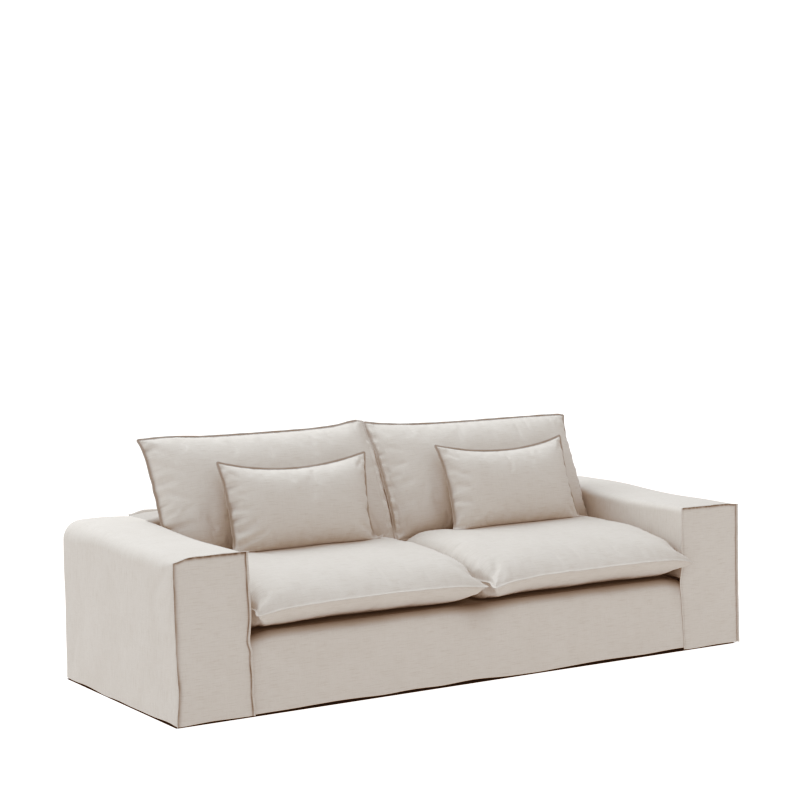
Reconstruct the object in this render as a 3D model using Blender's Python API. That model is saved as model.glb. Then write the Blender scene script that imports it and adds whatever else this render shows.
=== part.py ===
"""Loose linen cover set of a wide, low two-seat sofa, as it sits when it is dressed.

The frame cover is hollow: thin panels of linen round two block arms, a low back and a seat base,
open below. Six filled cushions belong to it: two seats, two backs and two lumbar cushions.
Metres. X runs to the viewer's right, Y to the rear, Z up. The origin is on the floor, in the
middle of everything.
"""

import math

import bmesh
import bpy
from mathutils import Vector, noise
from mathutils.bvhtree import BVHTree

# ---- driving sizes of the frame cover ----
COVER_WIDTH = 2.427             # over the outer faces of the arms
COVER_DEPTH = 0.956             # arm fronts to outside back
FRONT_Y = -0.4443               # where the arm fronts stand
ARM_WIDTH = 0.271
ARM_HEIGHT = 0.560              # at the front seam
ARM_REAR_RISE = 0.022           # the top climbs this much towards the back
ARM_CROWN = 0.005               # the top is this much higher along its middle
ARM_ROUND = 0.045               # outer long edge, once it has left the front seam
ARM_FRONT_ROUND = 0.012         # outer long edge where it meets the front panel
ARM_REAR_ROUND = 0.065          # outer long edge at the rear
ARM_INNER_ROUND = 0.018
REAR_ROUND = 0.020              # where the arm's cloth turns round the rear corner
REAR_TURN = 0.008               # flat strip of the arm's cloth on the rear, up to the seam
BACK_HEIGHT = 0.600
BACK_THICKNESS = 0.170
BACK_ROUND = 0.028
BACK_SHOULDER = 0.050           # the back's top falls to the arms over this width
DECK_HEIGHT = 0.285
CORNER_DROOP = 0.010            # the seat base's front corners hang this much lower
CORNER_DROOP_WIDTH = 0.090
APRON_SET_BACK = 0.003          # behind the arm fronts
APRON_ROUND = 0.020             # where the apron turns on to the deck

# ---- linen and its seams ----
CLOTH = 0.0025                  # linen with its backing
SEAM_GAP = 0.0005               # between two panels that are sewn together
DECK_SEAM_GAP = 0.0014          # the same, where the deck meets the apron's rounded top
FLANGE = 0.011                  # turned-out seam on the frame cover
CUSHION_FLANGE = 0.008          # turned-out seam on the cushions
CUSHION_FLANGE_THICKNESS = 0.003
CLEARANCE = 0.0008              # between a cushion and what it rests on
LEANING_CLEARANCE = 0.0018      # between the swollen faces of two cushions

HALF_WIDTH = COVER_WIDTH / 2
INNER_X = HALF_WIDTH - ARM_WIDTH
REAR_Y = FRONT_Y + COVER_DEPTH
BACK_FRONT_Y = REAR_Y - BACK_THICKNESS
BACK_DEPTH = COVER_DEPTH - BACK_THICKNESS
CUSHION_LIMIT_X = INNER_X - 0.004
BACK_CUSHION_Y = FRONT_Y + 0.540    # behind this the seats are pressed down by the back cushions
SEAT_PRESSED = 0.028
SEAT_PRESS_WIDTH = 0.045
LUMBAR_DENTS = (
    # middle of the dent, depth
    (-0.45, 0.012),
    (0.49, 0.008),
)
CUSHION_MIDDLE_GAP = 0.0004     # each cushion keeps this off the middle of the sofa

# How far the front seams stray sideways (+X) from straight, by height above the floor.
SEAM_STRAY = (
    # height, left outer, left inner, right inner, right outer
    (0.000, 0.003, 0.013, 0.010, 0.000),
    (0.110, 0.010, 0.008, 0.004, -0.003),
    (0.220, 0.006, 0.006, -0.005, -0.005),
    (0.260, 0.005, -0.003, -0.009, -0.006),
    (0.340, 0.003, 0.005, 0.000, -0.006),
    (0.440, 0.001, 0.001, 0.000, -0.006),
    (0.560, 0.000, -0.003, 0.000, -0.006),
)
SEAM_COLUMN = {("left", "outer"): 1, ("left", "inner"): 2, ("right", "inner"): 3, ("right", "outer"): 4}

ARMS = {
    # name: (side of the sofa, how much higher or lower its top sits)
    "left": (-1.0, 0.004),
    "right": (1.0, -0.005),
}

LINEN_COLOUR = (0.62, 0.565, 0.50, 1.0)
LINEN_ROUGHNESS = 0.92


# ---------------------------------------------------------------- small tools

def mix(low, high, share):
    return low + (high - low) * share


def ease(value):
    """0 to 1 with soft ends."""
    value = min(max(value, 0.0), 1.0)
    return value * value * (3.0 - 2.0 * value)


def ruffle(seed, place, step, size):
    """A repeatable, smooth unevenness of about +-size, with bumps about a step apart."""
    return size * noise.noise(Vector((place / step, seed * 7.31, 0.37)))


def seam_stray(arm, edge, height):
    column = SEAM_COLUMN[arm, edge]
    for lower, upper in zip(SEAM_STRAY, SEAM_STRAY[1:]):
        if height <= upper[0]:
            share = ease((height - lower[0]) / (upper[0] - lower[0]))
            return mix(lower[column], upper[column], share)
    return SEAM_STRAY[-1][column]


def hem_height(seed, place):
    """The hem clears the floor by nothing to 7 mm, unevenly."""
    return 0.0035 + ruffle(seed, place, 0.17, 0.0035)


def linen(name):
    material = bpy.data.materials.new(name)
    material.use_nodes = True
    shader = material.node_tree.nodes["Principled BSDF"]
    shader.inputs["Base Color"].default_value = LINEN_COLOUR
    shader.inputs["Roughness"].default_value = LINEN_ROUGHNESS
    shader.inputs["Metallic"].default_value = 0.0
    return material


def finish(name, shape, smooth_angle):
    """Turns a bmesh into the named object with its own linen."""
    mesh = bpy.data.meshes.new(name)
    shape.to_mesh(mesh)
    shape.free()
    mesh.materials.append(linen(name + "_linen"))
    mesh.shade_smooth()
    mesh.set_sharp_from_angle(angle=math.radians(smooth_angle))
    piece = bpy.data.objects.new(name, mesh)
    bpy.context.scene.collection.objects.link(piece)
    return piece


def cloth(name, rows, columns, point, outside, keep=None, thickness=CLOTH):
    """A sheet of cloth: point(row, column) for each crossing, thickened inwards.

    outside is a direction that the sheet's first cell faces. Cells that keep() refuses,
    asked at the cell's first row and column, are cut away.
    """
    shape = bmesh.new()
    grid = [[shape.verts.new(point(row, column)) for column in columns] for row in rows]
    for i, row in enumerate(rows[:-1]):
        for j, column in enumerate(columns[:-1]):
            if keep is None or keep(row, column):
                corners = (grid[i][j], grid[i][j + 1], grid[i + 1][j + 1], grid[i + 1][j])
                shape.faces.new(corners)
    loose = [vertex for vertex in shape.verts if not vertex.link_faces]
    bmesh.ops.delete(shape, geom=loose, context="VERTS")
    shape.faces.ensure_lookup_table()
    shape.normal_update()
    if shape.faces[0].normal.dot(Vector(outside)) < 0.0:
        bmesh.ops.reverse_faces(shape, faces=shape.faces)
    piece = finish(name, shape, 40)
    solid = piece.modifiers.new("thickness", "SOLIDIFY")
    solid.thickness = thickness
    solid.offset = -1.0
    solid.use_even_offset = True
    return piece


# ---------------------------------------------------------------- arms

def arm_top(arm, depth):
    """Height of an arm's top at a depth behind its front."""
    _side, lift = ARMS[arm]
    return ARM_HEIGHT + lift + ARM_REAR_RISE * ease((depth - 0.30) / 0.50)


def arm_front(arm):
    """Front panel, flat but for a soft belly, with its three seams turned out."""
    side, _lift = ARMS[arm]
    height = arm_top(arm, 0.0)
    flange = "flange"
    columns = [flange, 0.0, 0.25, 0.5, 0.75, 1.0, "inner flange"]
    rows = [0.0, 0.012, 0.05, 0.10, 0.15, 0.20, 0.24, 0.28, 0.33, 0.38, 0.44, 0.50, 0.54, 1.0, flange]

    def point(row, column):
        at_top = row == flange or row == 1.0
        z = height if at_top else row
        share = 0.0 if column == flange else 1.0 if column == "inner flange" else column
        outer = side * HALF_WIDTH + seam_stray(arm, "outer", z)
        inner = side * INNER_X + seam_stray(arm, "inner", z)
        x = mix(outer, inner, share)
        y = FRONT_Y - 0.004 * math.sin(math.pi * share) * math.sin(math.pi * z / height)
        if row == 0.0:
            z = hem_height(1 + side, x) * math.sin(math.pi * share) ** 0.5
        wave = 1.0 + ruffle(3 + side, z + 2 * share, 0.06, 0.45)
        if column == flange:
            x += side * FLANGE * 0.45 * wave
            y -= FLANGE * 0.80
        if column == "inner flange":
            x -= side * FLANGE * 0.55 * wave
            y -= FLANGE * 0.75
        if row == flange:
            z += FLANGE * 0.55 * (1.0 + ruffle(9 + side, x, 0.05, 0.5))
            y = min(y, FRONT_Y) - FLANGE * 0.45
        return Vector((x, y, z))

    cloth("arm_" + arm + "_front", rows, columns, point, (-side, -0.5, 0.0))


def beside_the_back(row):
    """Whether a row of an arm's wrap lies behind the front of the low back."""
    return row[0] != "depth" or row[1] > BACK_DEPTH


def arm_wrap(arm):
    """One length of linen: outer side, top and inner side, turned in round the rear corner."""
    side, _lift = ARMS[arm]
    along = [("depth", depth) for depth in (0.0, 0.025, 0.07, 0.13, 0.22, 0.34, 0.46, 0.58, 0.69)]
    along += [("depth", BACK_DEPTH - SEAM_GAP - CLOTH), ("depth", BACK_DEPTH + 0.03), ("depth", 0.86)]
    along += [("turn", angle) for angle in (0, 30, 60, 90)]
    along += [("rear", REAR_TURN)]
    around = [("side", share) for share in (0.0, 0.025, 0.2, 0.4, 0.6, 0.8)]
    around += [("round", angle) for angle in (0, 22.5, 45, 67.5, 90)]
    around += [("top", share) for share in (0.3, 0.65)]
    around += [("inner round", angle) for angle in (0, 45, 90)]
    around += [("inner", share) for share in (0.5, 1.0)]

    def point(row, column):
        kind, value = row
        inset = 0.0
        depth = value
        if kind == "turn":
            angle = math.radians(value)
            inset = REAR_ROUND * (1.0 - math.cos(angle))
            depth = COVER_DEPTH - REAR_ROUND * (1.0 - math.sin(angle))
        if kind == "rear":
            inset = REAR_ROUND + value
            depth = COVER_DEPTH
        top = arm_top(arm, depth) - inset
        rounding = mix(ARM_FRONT_ROUND, ARM_ROUND, ease(depth / 0.13))
        rounding = mix(rounding, ARM_REAR_ROUND, ease((depth - 0.60) / 0.30)) - inset
        front_share = 1.0 - ease(depth / (0.05 if column[0].startswith("inner") else 0.15))
        outer = HALF_WIDTH - inset
        section, share = column
        if section == "side":
            hem = hem_height(20 + side, depth)
            if kind == "depth" and value == 0.0:
                hem = 0.0
            z = mix(hem, top - rounding, share)
            x = outer
        elif section == "round":
            angle = math.radians(share)
            x = outer - rounding * (1.0 - math.cos(angle))
            z = top - rounding * (1.0 - math.sin(angle))
        elif section == "top":
            x = mix(outer - rounding, INNER_X + ARM_INNER_ROUND, share)
            z = top
        elif section == "inner round":
            angle = math.radians(share)
            x = INNER_X + ARM_INNER_ROUND * (1.0 - math.sin(angle))
            z = top
            if not beside_the_back(row):
                z -= ARM_INNER_ROUND * (1.0 - math.cos(angle))
        else:
            x = INNER_X
            z = mix(top - ARM_INNER_ROUND, DECK_HEIGHT - CLOTH, share)
        # crown of the top, and the slight belly of the outer side
        across = min(max((outer - x) / ARM_WIDTH, 0.0), 1.0)
        if section in ("top", "round", "inner round"):
            rear_share = min(inset / REAR_ROUND, 1.0)
            z += ARM_CROWN * math.sin(math.pi * across) * (1.0 - front_share) * (1.0 - rear_share)
        if section == "side":
            belly = 0.004 * math.sin(math.pi * min(z / top, 1.0)) + ruffle(30 + side, depth + z, 0.30, 0.0015)
            x += belly * math.sin(math.pi * depth / COVER_DEPTH)
        stray = "outer" if across < 0.5 else "inner"
        x = side * x + seam_stray(arm, stray, z) * front_share
        return Vector((x, FRONT_Y + max(depth, CLOTH + SEAM_GAP), z))

    def keep(row, column):
        inner_side = column[0] == "inner" or column == ("inner round", 90)
        return not (inner_side and (beside_the_back(row) or row[1] > BACK_DEPTH - 2 * CLOTH))

    cloth("arm_" + arm + "_wrap", along, around, point, (side, 0.0, 0.0), keep)


# ---------------------------------------------------------------- seat base and low back

def corner_droop(x):
    """How much lower the front edge of the seat base hangs at x."""
    return CORNER_DROOP * max(1.0 - (INNER_X - abs(x)) / CORNER_DROOP_WIDTH, 0.0)


def back_top(x):
    """Height of the low back: level, but for its shoulders, which fall to the arms' tops."""
    beside = arm_top("left" if x < 0.0 else "right", COVER_DEPTH)
    return mix(beside, BACK_HEIGHT, ease((INNER_X - abs(x)) / BACK_SHOULDER))


def front_apron():
    """Front panel below the seats; its top turns back to the seam with the deck."""
    columns = [column / 20 for column in range(21)]
    face = DECK_HEIGHT - APRON_ROUND
    rows = [("face", share) for share in (0.0, 0.05, 0.3, 0.55, 0.8, 1.0)]
    rows += [("round", angle) for angle in (30, 60, 90)]

    def point(row, column):
        kind, value = row
        y = FRONT_Y + APRON_SET_BACK
        z = mix(0.0, face, value) if kind == "face" else face
        left = -INNER_X + seam_stray("left", "inner", z)
        right = INNER_X + seam_stray("right", "inner", z)
        if kind != "face":
            left = max(left, -INNER_X)
            right = min(right, INNER_X)
        x = mix(left + SEAM_GAP, right - SEAM_GAP, column)
        if kind == "face" and value == 0.0:
            z = hem_height(41, x) * math.sin(math.pi * min(max(column, 0.02), 0.98)) ** 0.3
        if kind == "round":
            angle = math.radians(value)
            y += APRON_ROUND * (1.0 - math.cos(angle))
            z += APRON_ROUND * math.sin(angle)
        z -= corner_droop(x) * (value if kind == "face" else 1.0)
        if kind == "face":
            y += ruffle(43, x, 0.35, 0.003) * math.sin(math.pi * value)
        return Vector((x, y, z))

    cloth("front_apron", rows, columns, point, (0.0, -1.0, 0.0))


def seat_deck():
    """Flat panel that the seat cushions lie on."""
    front = FRONT_Y + APRON_SET_BACK + APRON_ROUND + DECK_SEAM_GAP
    rear = BACK_FRONT_Y - SEAM_GAP
    edge = INNER_X - SEAM_GAP
    inner_edge = INNER_X - CORNER_DROOP_WIDTH
    columns = [-edge] + [mix(-inner_edge, inner_edge, column / 8) for column in range(9)] + [edge]
    rows = [mix(front, rear, row / 5) for row in range(6)]

    def point(row, column):
        height = DECK_HEIGHT - (corner_droop(column) if row == front else 0.0)
        return Vector((column, row, height))

    cloth("seat_deck", rows, columns, point, (0.0, 0.0, 1.0))


def inside_back():
    """Front and top of the low back in one length."""
    edge = INNER_X - SEAM_GAP
    columns = [-1.0, -0.975, -0.95] + [mix(-0.90, 0.90, column / 14) for column in range(15)]
    columns += [0.95, 0.975, 1.0]
    rows = [("front", share) for share in (0.0, 0.25, 0.5, 0.75, 1.0)]
    rows += [("round", angle) for angle in (30, 60, 90)]
    rows += [("top", share) for share in (0.5, 1.0)]

    def point(row, column):
        kind, value = row
        x = edge * column
        top = back_top(x)
        angle = 0.0 if kind == "front" else math.radians(value) if kind == "round" else math.pi / 2
        y = BACK_FRONT_Y + BACK_ROUND * (1.0 - math.cos(angle))
        z = top - BACK_ROUND * (1.0 - math.sin(angle))
        if kind == "front":
            z = mix(DECK_HEIGHT - CLOTH, top - BACK_ROUND, value)
        if kind == "top":
            y = mix(BACK_FRONT_Y + BACK_ROUND, REAR_Y - CLOTH - SEAM_GAP, value)
        return Vector((x, y, z))

    cloth("inside_back", rows, columns, point, (0.0, -1.0, 0.0))


def outside_back():
    """Rear panel from arm to arm; between the arms it stands higher, and its top is flanged."""
    edge = HALF_WIDTH - REAR_ROUND - REAR_TURN - SEAM_GAP
    step = INNER_X - SEAM_GAP
    corner = ARM_REAR_ROUND - REAR_ROUND - REAR_TURN + SEAM_GAP
    half = [0.9 * step * share / 6 for share in range(7)]
    half += [step - BACK_SHOULDER, step - BACK_SHOULDER / 2, step]
    half += [edge - corner, edge - 0.3 * corner, edge]
    columns = [-x for x in half[:0:-1]] + half
    rows = [0.0, 0.025, 0.12, 0.24, 0.36, 0.46, "arm seam", "top", "flange"]

    def point(row, column):
        y = REAR_Y
        if row == "flange":
            height = back_top(column) + FLANGE * 0.6 * (1.0 + ruffle(51, column, 0.07, 0.4))
            return Vector((column, y + FLANGE * 0.6, height))
        z = back_top(column) if row == "top" else row
        if row == 0.0:
            z = hem_height(53, column)
        if row == "arm seam":
            arm = "left" if column < 0.0 else "right"
            z = arm_top(arm, COVER_DEPTH) - REAR_ROUND - REAR_TURN - SEAM_GAP
            into_corner = max(abs(column) - (edge - corner), 0.0)
            z -= corner - math.sqrt(max(corner ** 2 - into_corner ** 2, 0.0))
        belly = math.sin(math.pi * z / BACK_HEIGHT) * math.cos(0.5 * math.pi * column / edge)
        return Vector((column, y + 0.003 * belly, z))

    def keep(row, column):
        between_arms = -step <= column < step
        return between_arms or row not in ("arm seam", "top", "flange")

    cloth("outside_back", rows, columns, point, (0.0, 1.0, 0.0), keep)


# ---------------------------------------------------------------- cushions

class Cushion:
    """Shape of one filled cushion, in the plane of its seam: a across, b along, n out of it."""

    def __init__(self, width, length, front, rear, draws, ears, segments, seed,
                 pinch=(0.0, 0.0, 1.0), tuck=(1.0, 0.0, -1.0, -0.9)):
        self.width = width                  # seam to seam at the corners
        self.length = length
        self.faces = {1.0: front, -1.0: rear}   # Crown of the face that shows, and of the other
        self.draw_side, self.draw_top, self.draw_bottom = draws     # edges' middles, drawn in
        self.ears = ears                    # {(side, end): (across, along, out, sharpness)} of a corner
        self.segments = segments
        self.seed = seed
        self.pinch = pinch                  # (how far, where along, how wide) both sides step in
        self.tuck = tuck                    # (side, how far, full below, none above) one side steps in


class Crown:
    """How one face of a cushion swells: its height, and how squarely it rises from the seams."""

    def __init__(self, height, across, along, far_squareness=None, dome=0.0):
        self.height = height
        self.across = across                # (squareness, steepness) from side to side
        self.along = along                  # and from end to end
        self.far_squareness = far_squareness or along[0]    # towards the far end, v = 1
        self.dome = dome                    # share that the crown loses from its middle to its sides

    def at(self, u, v):
        squareness = self.far_squareness if v > 0.0 else self.along[0]
        rise_across = max(1.0 - abs(u) ** self.across[0], 0.0) ** self.across[1]
        rise_along = max(1.0 - abs(v) ** squareness, 0.0) ** self.along[1]
        return self.height * rise_across * rise_along * (1.0 - self.dome * u * u)


def seam_point(cushion, u, v):
    """Place in the seam's plane of the share (u, v), each -1 to 1 from seam to seam."""
    step_in, where, reach = cushion.pinch
    step_in *= math.exp(-((v - where) / reach) ** 2)
    tuck_side, tuck_in, full_below, none_above = cushion.tuck
    if u * tuck_side > 0.0:
        step_in += tuck_in * (1.0 - ease((v - full_below) / (none_above - full_below)))
    a = u * (cushion.width / 2 - cushion.draw_side * (1.0 - v * v) - step_in)
    draw = cushion.draw_top if v > 0.0 else cushion.draw_bottom
    b = v * (cushion.length / 2 - draw * (1.0 - u * u))
    n = 0.0
    for (side, end), (across, along, out, sharpness) in cushion.ears.items():
        near = (max(u * side, 0.0) * max(v * end, 0.0)) ** sharpness
        a += across * near
        b += along * near
        n += out * near
    return a, b, n


def shares(count):
    """Stations -1 to 1, closer together near the seams, where the crown falls away."""
    steps = [math.sin(0.5 * math.pi * (2.0 * step / count - 1.0)) for step in range(count + 1)]
    return [mix(step, 2.0 * index / count - 1.0, 0.45) for index, step in enumerate(steps)]


def cushion_mesh(cushion, place):
    """Closed bmesh of a cushion: front face, rear face and the flange round its seam."""
    across = shares(cushion.segments[0])
    along = shares(cushion.segments[1])
    across = ["flange"] + across + ["far flange"]
    along = ["flange"] + along + ["far flange"]
    shape = bmesh.new()
    sheets = []
    for face in (1.0, -1.0):
        grid = []
        for row in along:
            line = []
            for column in across:
                u = -1.0 if column == "flange" else 1.0 if column == "far flange" else column
                v = -1.0 if row == "flange" else 1.0 if row == "far flange" else row
                a, b, n = seam_point(cushion, u, v)
                out_a = 0.0 if isinstance(column, float) else math.copysign(CUSHION_FLANGE, u)
                out_b = 0.0 if isinstance(row, float) else math.copysign(CUSHION_FLANGE, v)
                if out_a and out_b:
                    out_a *= 0.75
                    out_b *= 0.75
                a += out_a
                b += out_b
                swell = cushion.faces[face].at(u, v)
                if out_a or out_b:
                    n += ruffle(cushion.seed, a + 1.7 * b, 0.05, 0.0025)
                n += face * (CUSHION_FLANGE_THICKNESS / 2 + swell)
                line.append(shape.verts.new(place(a, b, n)))
            grid.append(line)
        sheets.append(grid)
    front, rear = sheets
    last_row = len(along) - 1
    last_column = len(across) - 1
    for i in range(last_row):
        for j in range(last_column):
            shape.faces.new((front[i][j], front[i][j + 1], front[i + 1][j + 1], front[i + 1][j]))
            shape.faces.new((rear[i][j], rear[i + 1][j], rear[i + 1][j + 1], rear[i][j + 1]))
    rim = [(0, j) for j in range(last_column)] + [(i, last_column) for i in range(last_row)]
    rim += [(last_row, j) for j in range(last_column, 0, -1)] + [(i, 0) for i in range(last_row, 0, -1)]
    for (i, j), (k, m) in zip(rim, rim[1:] + rim[:1]):
        shape.faces.new((front[i][j], rear[i][j], rear[k][m], front[k][m]))
    bmesh.ops.recalc_face_normals(shape, faces=shape.faces)
    return shape


def settle(shape, carrier, towards, gap, reach=0.40):
    """Presses a shape back where it would sink into its carrier, leaving a gap.

    towards is the direction in which the shape leans on the carrier.
    """
    direction = Vector(towards)
    for vertex in shape.verts:
        start = vertex.co - direction * reach
        hit, _normal, _index, distance = carrier.ray_cast(start, direction, reach + gap)
        if hit is not None and distance < reach + gap:
            vertex.co -= direction * (reach + gap - distance)


def keep_off(shape, limits):
    """Presses a shape flat against upright and level planes: {axis: (lowest, highest)}."""
    for vertex in shape.verts:
        for axis, (low, high) in limits.items():
            vertex.co[axis] = min(max(vertex.co[axis], low), high)


def lumbar_dent(x, y):
    """How far a lumbar cushion presses the seat below it down."""
    dent = 0.0
    for centre_x, depth in LUMBAR_DENTS:
        across = ease(3.0 * (1.0 - abs(x - centre_x) / 0.38))
        dent += depth * across * ease(2.0 * (1.0 - abs(y - FRONT_Y - 0.45) / 0.13))
    return dent


def seat_cushion(side, ears, seed):
    """Deep seat cushion, overhanging the apron, flat below where it lies on the deck."""
    overhang = 0.064
    depth = BACK_FRONT_Y - CLEARANCE - FRONT_Y + overhang - 2 * CUSHION_FLANGE
    width = CUSHION_LIMIT_X - CUSHION_MIDDLE_GAP - 2 * CUSHION_FLANGE
    centre_x = side * (CUSHION_LIMIT_X + CUSHION_MIDDLE_GAP) / 2
    centre_y = FRONT_Y - overhang + CUSHION_FLANGE + depth / 2
    seam_z = 0.378
    at_arm_front = 2.0 * (overhang - FLANGE) / depth - 1.0
    above = Crown(0.100, (10.0, 0.36), (2.0, 0.75), far_squareness=6.0, dome=0.06)
    below = Crown(0.110, (12.0, 0.42), (2.2, 0.50))
    cushion = Cushion(width, depth, above, below, (0.0, 0.0, 0.004), ears, (20, 18), seed,
                      pinch=(0.022, at_arm_front, 0.07))

    def place(a, b, n):
        x = centre_x + a
        y = centre_y + b
        pressed = SEAT_PRESSED * ease((y - BACK_CUSHION_Y) / SEAT_PRESS_WIDTH) + lumbar_dent(x, y)
        sunk = min(n, max(n - pressed, 0.012))
        return Vector((x, y, seam_z + sunk))

    shape = cushion_mesh(cushion, place)
    keep_off(shape, {2: (DECK_HEIGHT + CLEARANCE, 1.0)})
    return shape


def leaning_cushion(cushion, bottom, top, centre_x):
    """A cushion whose seam plane runs from bottom (y, z) to top (y, z)."""
    foot = Vector((0.0, bottom[0], bottom[1]))
    up = (Vector((0.0, top[0], top[1])) - foot).normalized()
    out = Vector((1.0, 0.0, 0.0)).cross(up)

    def place(a, b, n):
        return foot + Vector((centre_x + a, 0.0, 0.0)) + up * (cushion.length / 2 + b) + out * n

    return cushion_mesh(cushion, place)


def tree_of(*pieces):
    depsgraph = bpy.context.evaluated_depsgraph_get()
    points = []
    faces = []
    for piece in pieces:
        mesh = piece.evaluated_get(depsgraph).data
        first = len(points)
        points += [vertex.co.copy() for vertex in mesh.vertices]
        faces += [[first + index for index in face.vertices] for face in mesh.polygons]
    return BVHTree.FromPolygons(points, faces)


def cushions():
    left_ears = {(-1, -1): (0.006, 0.012, -0.024, 4), (1, -1): (0.000, -0.002, -0.018, 4)}
    right_ears = {(-1, -1): (0.012, -0.010, -0.024, 4), (1, -1): (0.020, 0.004, -0.026, 8)}
    seats = []
    for name, side, ears, seed in (("seat_cushion_left", -1.0, left_ears, 61.0),
                                   ("seat_cushion_right", 1.0, right_ears, 62.0)):
        seats.append(finish(name, seat_cushion(side, ears, seed), 50))
    seat_tree = tree_of(*seats)

    foot = (FRONT_Y + 0.5893, 0.4537)
    head = (FRONT_Y + 0.795, 0.880)
    backs = []
    for name, side, centre_x, width, tuck_in, ears, seed in (
            ("back_cushion_left", -1.0, -0.4770, 0.937, 0.014,
             {(-1, 1): (-0.022, 0.0, 0.0, 4), (1, 1): (0.0, 0.018, 0.006, 4),
              (1, -1): (0.0, -0.020, 0.0, 14)}, 71.0),
            ("back_cushion_right", 1.0, 0.4705, 0.924, 0.003,
             {(-1, 1): (0.0, 0.020, -0.006, 4), (1, 1): (0.021, -0.004, 0.0, 4),
              (-1, -1): (0.0, -0.020, 0.0, 14)}, 72.0)):
        face = Crown(0.100, (5.0, 0.50), (2.6, 0.60))
        cushion = Cushion(width, 0.472, face, face, (0.001, 0.004, 0.0), ears, (20, 14), seed,
                          tuck=(side, tuck_in, -0.25, 0.05))
        shape = leaning_cushion(cushion, foot, head, centre_x)
        settle(shape, seat_tree, (0.0, 0.0, -1.0), CLEARANCE)
        backs.append(finish(name, shape, 50))
    back_tree = tree_of(*backs)

    foot = (FRONT_Y + 0.4525, 0.4775)
    head = (FRONT_Y + 0.575, 0.800)
    for name, centre_x, width, taper, ears, seed in (
            ("lumbar_cushion_left", -0.449, 0.610, 0.022,
             {(-1, 1): (0.0, 0.004, 0.0, 4), (1, 1): (0.006, 0.0, 0.0, 4)}, 81.0),
            ("lumbar_cushion_right", 0.489, 0.585, 0.0,
             {(-1, -1): (-0.012, -0.004, 0.0, 8), (1, 1): (0.0, 0.008, 0.0, 4)}, 82.0)):
        face = Crown(0.078, (4.0, 0.50), (2.4, 0.60))
        rear = Crown(0.055, (2.4, 0.60), (2.4, 0.60))
        cushion = Cushion(width, 0.342, face, rear, (0.014, 0.040, 0.004), ears, (16, 12), seed,
                          tuck=(1.0, taper, -0.6, 0.6))
        shape = leaning_cushion(cushion, foot, head, centre_x)
        settle(shape, seat_tree, (0.0, 0.0, -1.0), CLEARANCE)
        settle(shape, back_tree, (0.0, 1.0, 0.0), LEANING_CLEARANCE)
        finish(name, shape, 50)


# ---------------------------------------------------------------- build

def clear_scene():
    for old in list(bpy.data.objects):
        bpy.data.objects.remove(old, do_unlink=True)


clear_scene()
for arm_name in ARMS:
    arm_front(arm_name)
    arm_wrap(arm_name)
front_apron()
seat_deck()
inside_back()
outside_back()
cushions()
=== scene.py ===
"""Looks of a loose linen cover for a wide, low sofa: frame cover first, then its six filled cushions."""
import math

import bmesh
import bpy
import numpy as np
from mathutils import Matrix, Vector, noise
from mathutils.bvhtree import BVHTree


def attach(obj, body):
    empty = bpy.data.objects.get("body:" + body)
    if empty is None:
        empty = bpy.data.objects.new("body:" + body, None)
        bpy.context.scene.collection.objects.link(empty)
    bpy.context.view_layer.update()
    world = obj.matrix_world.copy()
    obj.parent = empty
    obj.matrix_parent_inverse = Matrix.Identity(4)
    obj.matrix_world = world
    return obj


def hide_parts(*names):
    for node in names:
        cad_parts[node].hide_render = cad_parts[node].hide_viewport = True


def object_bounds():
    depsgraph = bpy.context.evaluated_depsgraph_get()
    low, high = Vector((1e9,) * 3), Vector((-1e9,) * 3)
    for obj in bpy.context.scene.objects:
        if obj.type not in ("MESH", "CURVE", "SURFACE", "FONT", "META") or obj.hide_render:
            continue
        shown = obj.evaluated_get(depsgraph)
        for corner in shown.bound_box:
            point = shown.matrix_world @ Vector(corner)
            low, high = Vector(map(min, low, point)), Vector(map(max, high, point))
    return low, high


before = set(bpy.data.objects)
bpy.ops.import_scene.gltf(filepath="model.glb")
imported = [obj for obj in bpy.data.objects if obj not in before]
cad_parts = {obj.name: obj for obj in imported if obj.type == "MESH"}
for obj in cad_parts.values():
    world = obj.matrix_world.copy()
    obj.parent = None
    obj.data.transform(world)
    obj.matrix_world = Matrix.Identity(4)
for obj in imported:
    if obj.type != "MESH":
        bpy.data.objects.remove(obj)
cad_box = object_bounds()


# ================================================================ view, floor and light
# A long lens, a little above the arms, from the left. The floor glows like a light table, the pale
# surround is brighter from the left and the rear, and soft lights hang above and at the right.

CAMERA_PLACE = (-3.9635, -6.3443, 1.57)
CAMERA_YAW = 31.65              # degrees to the right of straight at the seats
CAMERA_PITCH = 4.36             # degrees down
CAMERA_ROLL = -0.93
CAMERA_LENS = 89.55             # mm on a sensor 36 mm wide

yaw, pitch, roll = (math.radians(angle) for angle in (CAMERA_YAW, CAMERA_PITCH, CAMERA_ROLL))
forward = Vector((math.sin(yaw) * math.cos(pitch), math.cos(yaw) * math.cos(pitch), -math.sin(pitch)))
right = Vector((math.cos(yaw), -math.sin(yaw), 0.0))
up = right.cross(forward)
camera_right = right * math.cos(roll) + up * math.sin(roll)
camera_up = up * math.cos(roll) - right * math.sin(roll)

lens = bpy.data.cameras.new("camera")
lens.lens = CAMERA_LENS
lens.sensor_width = 36.0
lens.clip_end = 200.0
camera = bpy.data.objects.new("camera", lens)
camera.matrix_world = Matrix((camera_right, camera_up, -forward)).transposed().to_4x4()
camera.matrix_world.translation = CAMERA_PLACE
bpy.context.scene.collection.objects.link(camera)
bpy.context.scene.camera = camera
print_view = bpy.context.scene.view_settings
print_view.view_transform = "Standard"
print_view.use_curve_mapping = True
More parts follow.
